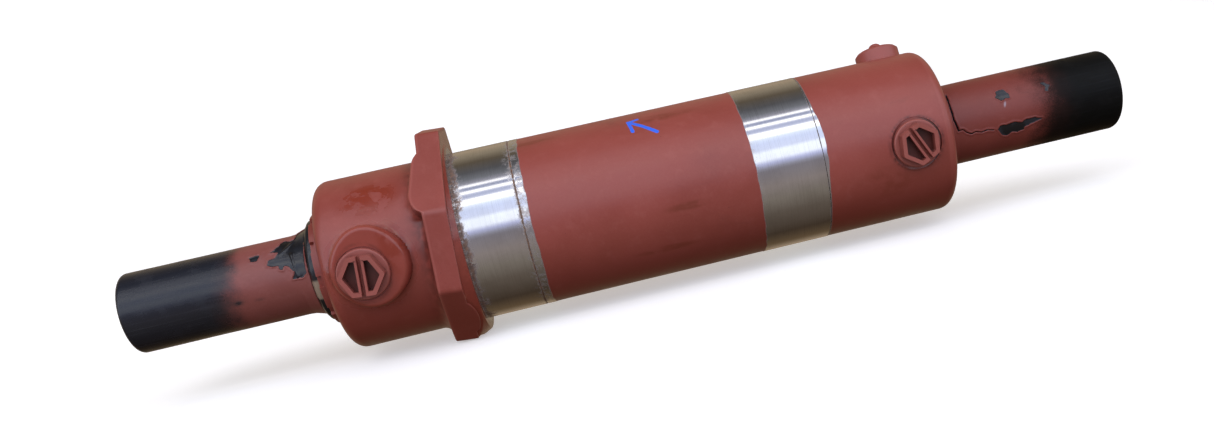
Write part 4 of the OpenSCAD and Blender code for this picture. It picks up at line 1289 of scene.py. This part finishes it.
lp = build_plug("left_plug_moulding", -48.6, 50.4, 12.8, 3.0, 6.6, -5.5)
lp.data.materials.append(mats["plug"])
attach(lp, "left_plug"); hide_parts("left_port_plug")
rp = build_plug("right_plug_moulding", 239.3, 42.2, 12.6, 3.8, 6.2, 26.6)
rp.data.materials.append(mats["plug"])
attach(rp, "right_plug"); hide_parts("right_port_plug")

for n, m, w in [("right_gland_ring", "primer_low", 0.3), ("left_rod_bush", "bronze", 0.3), ("right_rod_bush", "bronze", 0.3),
                ("left_rod_seal", "poly", 0.15), ("right_rod_seal", "poly", 0.15), ("left_head_o_ring", "rubber", 0), ("right_head_o_ring", "rubber", 0),
                ("left_backup_ring", "ring", 0.15), ("right_backup_ring", "ring", 0.15), ("piston_rod", "chrome", 0.25), ("piston", "steel", 0.25),
                ("piston_seal", "poly", 0.2), ("piston_wear_rings", "ring", 0.15), ("piston_o_ring", "rubber", 0), ("piston_retaining_rings", "steel", 0.15),
                ("left_plug_o_ring", "rubber", 0), ("right_plug_o_ring", "rubber", 0), ("bleed_boss", "primer", 0.35), ("bleed_screw", "primer", 0.2)]:
    ob = finish_node(n, mats[m])
    if w:
        bevel(ob, w, 2, 32)

# ------------------------------------------------------------------ floor, light, camera
FLOOR = min(p[2] for p in cad_box) - 0.0002


def build_stage():
    """Pale floor that sweeps up into a backdrop."""
    prof = [(-0.9, FLOOR), (0.9, FLOOR)]
    pts = []
    for y in np.linspace(-1.6, 1.4, 8):
        pts.append((y, FLOOR))
    for k in range(1, 17):
        a = math.radians(90 * k / 16)
        pts.append((1.4 + 0.9 * math.sin(a), FLOOR + 0.9 * (1 - math.cos(a))))
    pts.append((2.3, 2.6))
    xs = np.linspace(-2.6, 2.8, 7)
    bm = bmesh.new()
    g = [[bm.verts.new((x, y, z)) for x in xs] for y, z in pts]
    for i in range(len(pts) - 1):
        for j in range(len(xs) - 1):
            f = bm.faces.new((g[i][j], g[i][j + 1], g[i + 1][j + 1], g[i + 1][j]))
            f.smooth = True
    me = bpy.data.meshes.new("studio_floor")
    bm.to_mesh(me)
    bm.free()
    ob = bpy.data.objects.new("studio_floor", me)
    scene.collection.objects.link(ob)
    m = bpy.data.materials.new("studio_floor")
    m.use_nodes = True
    b = m.node_tree.nodes["Principled BSDF"]
    b.inputs["Base Color"].default_value = (0.86, 0.855, 0.85, 1)
    b.inputs["Roughness"].default_value = 0.75
    b.inputs["Specular IOR Level"].default_value = 0.15
    b.inputs["Emission Color"].default_value = (1, 1, 1, 1)
    b.inputs["Emission Strength"].default_value = 0.42
    me.materials.append(m)
    ob.visible_diffuse = False
    ob.visible_glossy = False
    return ob


stage = build_stage()

# The studio's surroundings, as bands of light that run along the cylinder: a broad window high in
# front, a dim ceiling, a warm wall behind and a dark table below. Angle is from -Y towards +Z.
LIGHT = [  # angle deg, r, g, b (linear)
    (-180, 0.30, 0.24, 0.17), (-150, 0.36, 0.27, 0.18), (-128, 0.15, 0.10, 0.055), (-100, 0.07, 0.048, 0.032), (-62, 0.15, 0.12, 0.095),
    (-40, 0.26, 0.225, 0.19), (-20, 0.35, 0.30, 0.285), (2, 0.30, 0.28, 0.32), (6, 0.42, 0.42, 0.52), (12, 0.75, 0.80, 1.20), (17, 1.45, 1.55, 1.75), (27, 1.5, 1.62, 1.8), (31, 1.05, 1.15, 1.5), (40, 1.0, 1.12, 1.5),
    (46, 1.2, 1.35, 1.65), (50, 2.2, 2.2, 2.3), (55, 2.3, 2.3, 2.3), (57, 0.78, 0.84, 1.12), (63, 0.66, 0.72, 1.0), (65, 2.3, 2.3, 2.3), (67, 2.3, 2.3, 2.3), (69, 0.5, 0.55, 0.8), (73, 0.45, 0.5, 0.7), (74.5, 2.0, 2.0, 2.1), (76.5, 2.0, 2.0, 2.1), (78, 0.5, 0.5, 0.6),
    (86, 0.24, 0.25, 0.28), (98, 0.13, 0.13, 0.14), (118, 0.15, 0.12, 0.085), (136, 0.34, 0.28, 0.20), (156, 0.46, 0.36, 0.25), (180, 0.30, 0.24, 0.17)]
WORLD_GAIN = 1.0


def build_world():
    w = bpy.data.worlds.new("studio")
    scene.world = w
    w.use_nodes = True
    t = w.node_tree
    t.nodes.clear()
    out = t.nodes.new("ShaderNodeOutputWorld")
    bg = t.nodes.new("ShaderNodeBackground")
    tc = t.nodes.new("ShaderNodeTexCoord")
    s = t.nodes.new("ShaderNodeSeparateXYZ")
    t.links.new(tc.outputs["Generated"], s.inputs[0])
    neg = t.nodes.new("ShaderNodeMath"); neg.operation = "MULTIPLY"; neg.inputs[1].default_value = -1
    t.links.new(s.outputs[1], neg.inputs[0])
    at = t.nodes.new("ShaderNodeMath"); at.operation = "ARCTAN2"
    t.links.new(s.outputs[2], at.inputs[0])
    t.links.new(neg.outputs[0], at.inputs[1])
    mr = t.nodes.new("ShaderNodeMapRange")
    mr.inputs[1].default_value = -pi
    mr.inputs[2].default_value = pi
    t.links.new(at.outputs[0], mr.inputs[0])
    # three ramps in series would repeat; one ramp holds 32 stops
    ramp = t.nodes.new("ShaderNodeValToRGB")
    ramp.color_ramp.interpolation = "LINEAR"
    el = ramp.color_ramp.elements
    stops = LIGHT[:]
    assert len(stops) <= 32 or True
    top = max(max(c[1:]) for c in stops)
    if len(stops) > 32:
        stops = stops[:32]
    while len(el) > 1:
        el.remove(el[0])
    el[0].position = (stops[0][0] + 180) / 360
    el[0].color = (stops[0][1] / top, stops[0][2] / top, stops[0][3] / top, 1)
    for a, r, g, b in stops[1:]:
        e = el.new((a + 180) / 360)
        e.color = (r / top, g / top, b / top, 1)
    t.links.new(mr.outputs[0], ramp.inputs[0])
    t.links.new(ramp.outputs[0], bg.inputs[0])
    bg.inputs[1].default_value = top * WORLD_GAIN
    t.links.new(bg.outputs[0], out.inputs[0])
    w.cycles.sampling_method = "MANUAL"
    w.cycles.sample_map_resolution = 2048


build_world()


def area(name, loc, target, size, size_y, power, colour=(1, 1, 1), glossy=True):
    d = bpy.data.lights.new(name, "AREA")
    d.shape = "RECTANGLE"
    d.size, d.size_y = size, size_y
    d.energy = power
    d.color = colour
    o = bpy.data.objects.new(name, d)
    scene.collection.objects.link(o)
    o.location = loc
    o.rotation_euler = (Vector(target) - Vector(loc)).to_track_quat("-Z", "Y").to_euler()
    o.visible_glossy = glossy
    o.visible_camera = False
    return o


area("key", (-0.35, -1.35, 1.25), (0.09, 0, 0), 1.7, 0.8, 6.0, (1.0, 0.97, 0.95), glossy=False)
area("top", (0.15, 0.35, 1.6), (0.09, 0, 0), 1.6, 0.9, 3.0, (1.0, 0.90, 0.78), glossy=False)

# camera at the photograph's place
F_PX, CX, CY = 1158.6, 761.8, 270.2
W = np.array([0.0697, -0.1426, -0.2327])


def rotm(w):
    t = np.linalg.norm(w)
    k = w / t
    K = np.array([[0, -k[2], k[1]], [k[2], 0, -k[0]], [-k[1], k[0], 0]])
    return np.eye(3) + math.sin(t) * K + (1 - math.cos(t)) * K @ K


M = rotm(W) @ np.array([[1, 0, 0], [0, 0, -1], [0, 1, 0]], float)
ROLL = math.radians(7)


def to_cad(v, point=False):
    x, y, z = v
    y, z = y * math.cos(ROLL) + z * math.sin(ROLL), -y * math.sin(ROLL) + z * math.cos(ROLL)
    return Vector((x + (64.0 if point else 0.0), y, z))


D = 638.2
eye = to_cad((0, -D, 0), True) * MM
right, down, fwd = (to_cad(M[i]) for i in range(3))
cam_d = bpy.data.cameras.new("camera")
cam = bpy.data.objects.new("camera", cam_d)
scene.collection.objects.link(cam)
cam_d.sensor_fit = "HORIZONTAL"
cam_d.sensor_width = 36.0
cam_d.lens = F_PX * 36.0 / 1214
cam_d.shift_x = (607.0 - CX) / 1214
cam_d.shift_y = (CY - 215.5) / 1214
cam_d.clip_start = 0.01
cam_d.clip_end = 20
mw = Matrix.Identity(4)
for i, c in enumerate((right, -down, -fwd)):
    c = c.normalized()
    for j in range(3):
        mw[j][i] = c[j]
for j in range(3):
    mw[j][3] = eye[j]
cam.matrix_world = mw
scene.camera = cam

scene.view_settings.view_transform = "Standard"
scene.view_settings.look = "None"
scene.view_settings.exposure = 0.0
scene.view_settings.gamma = 1.0
try:
    scene.cycles.use_denoising = True
except Exception:
    pass
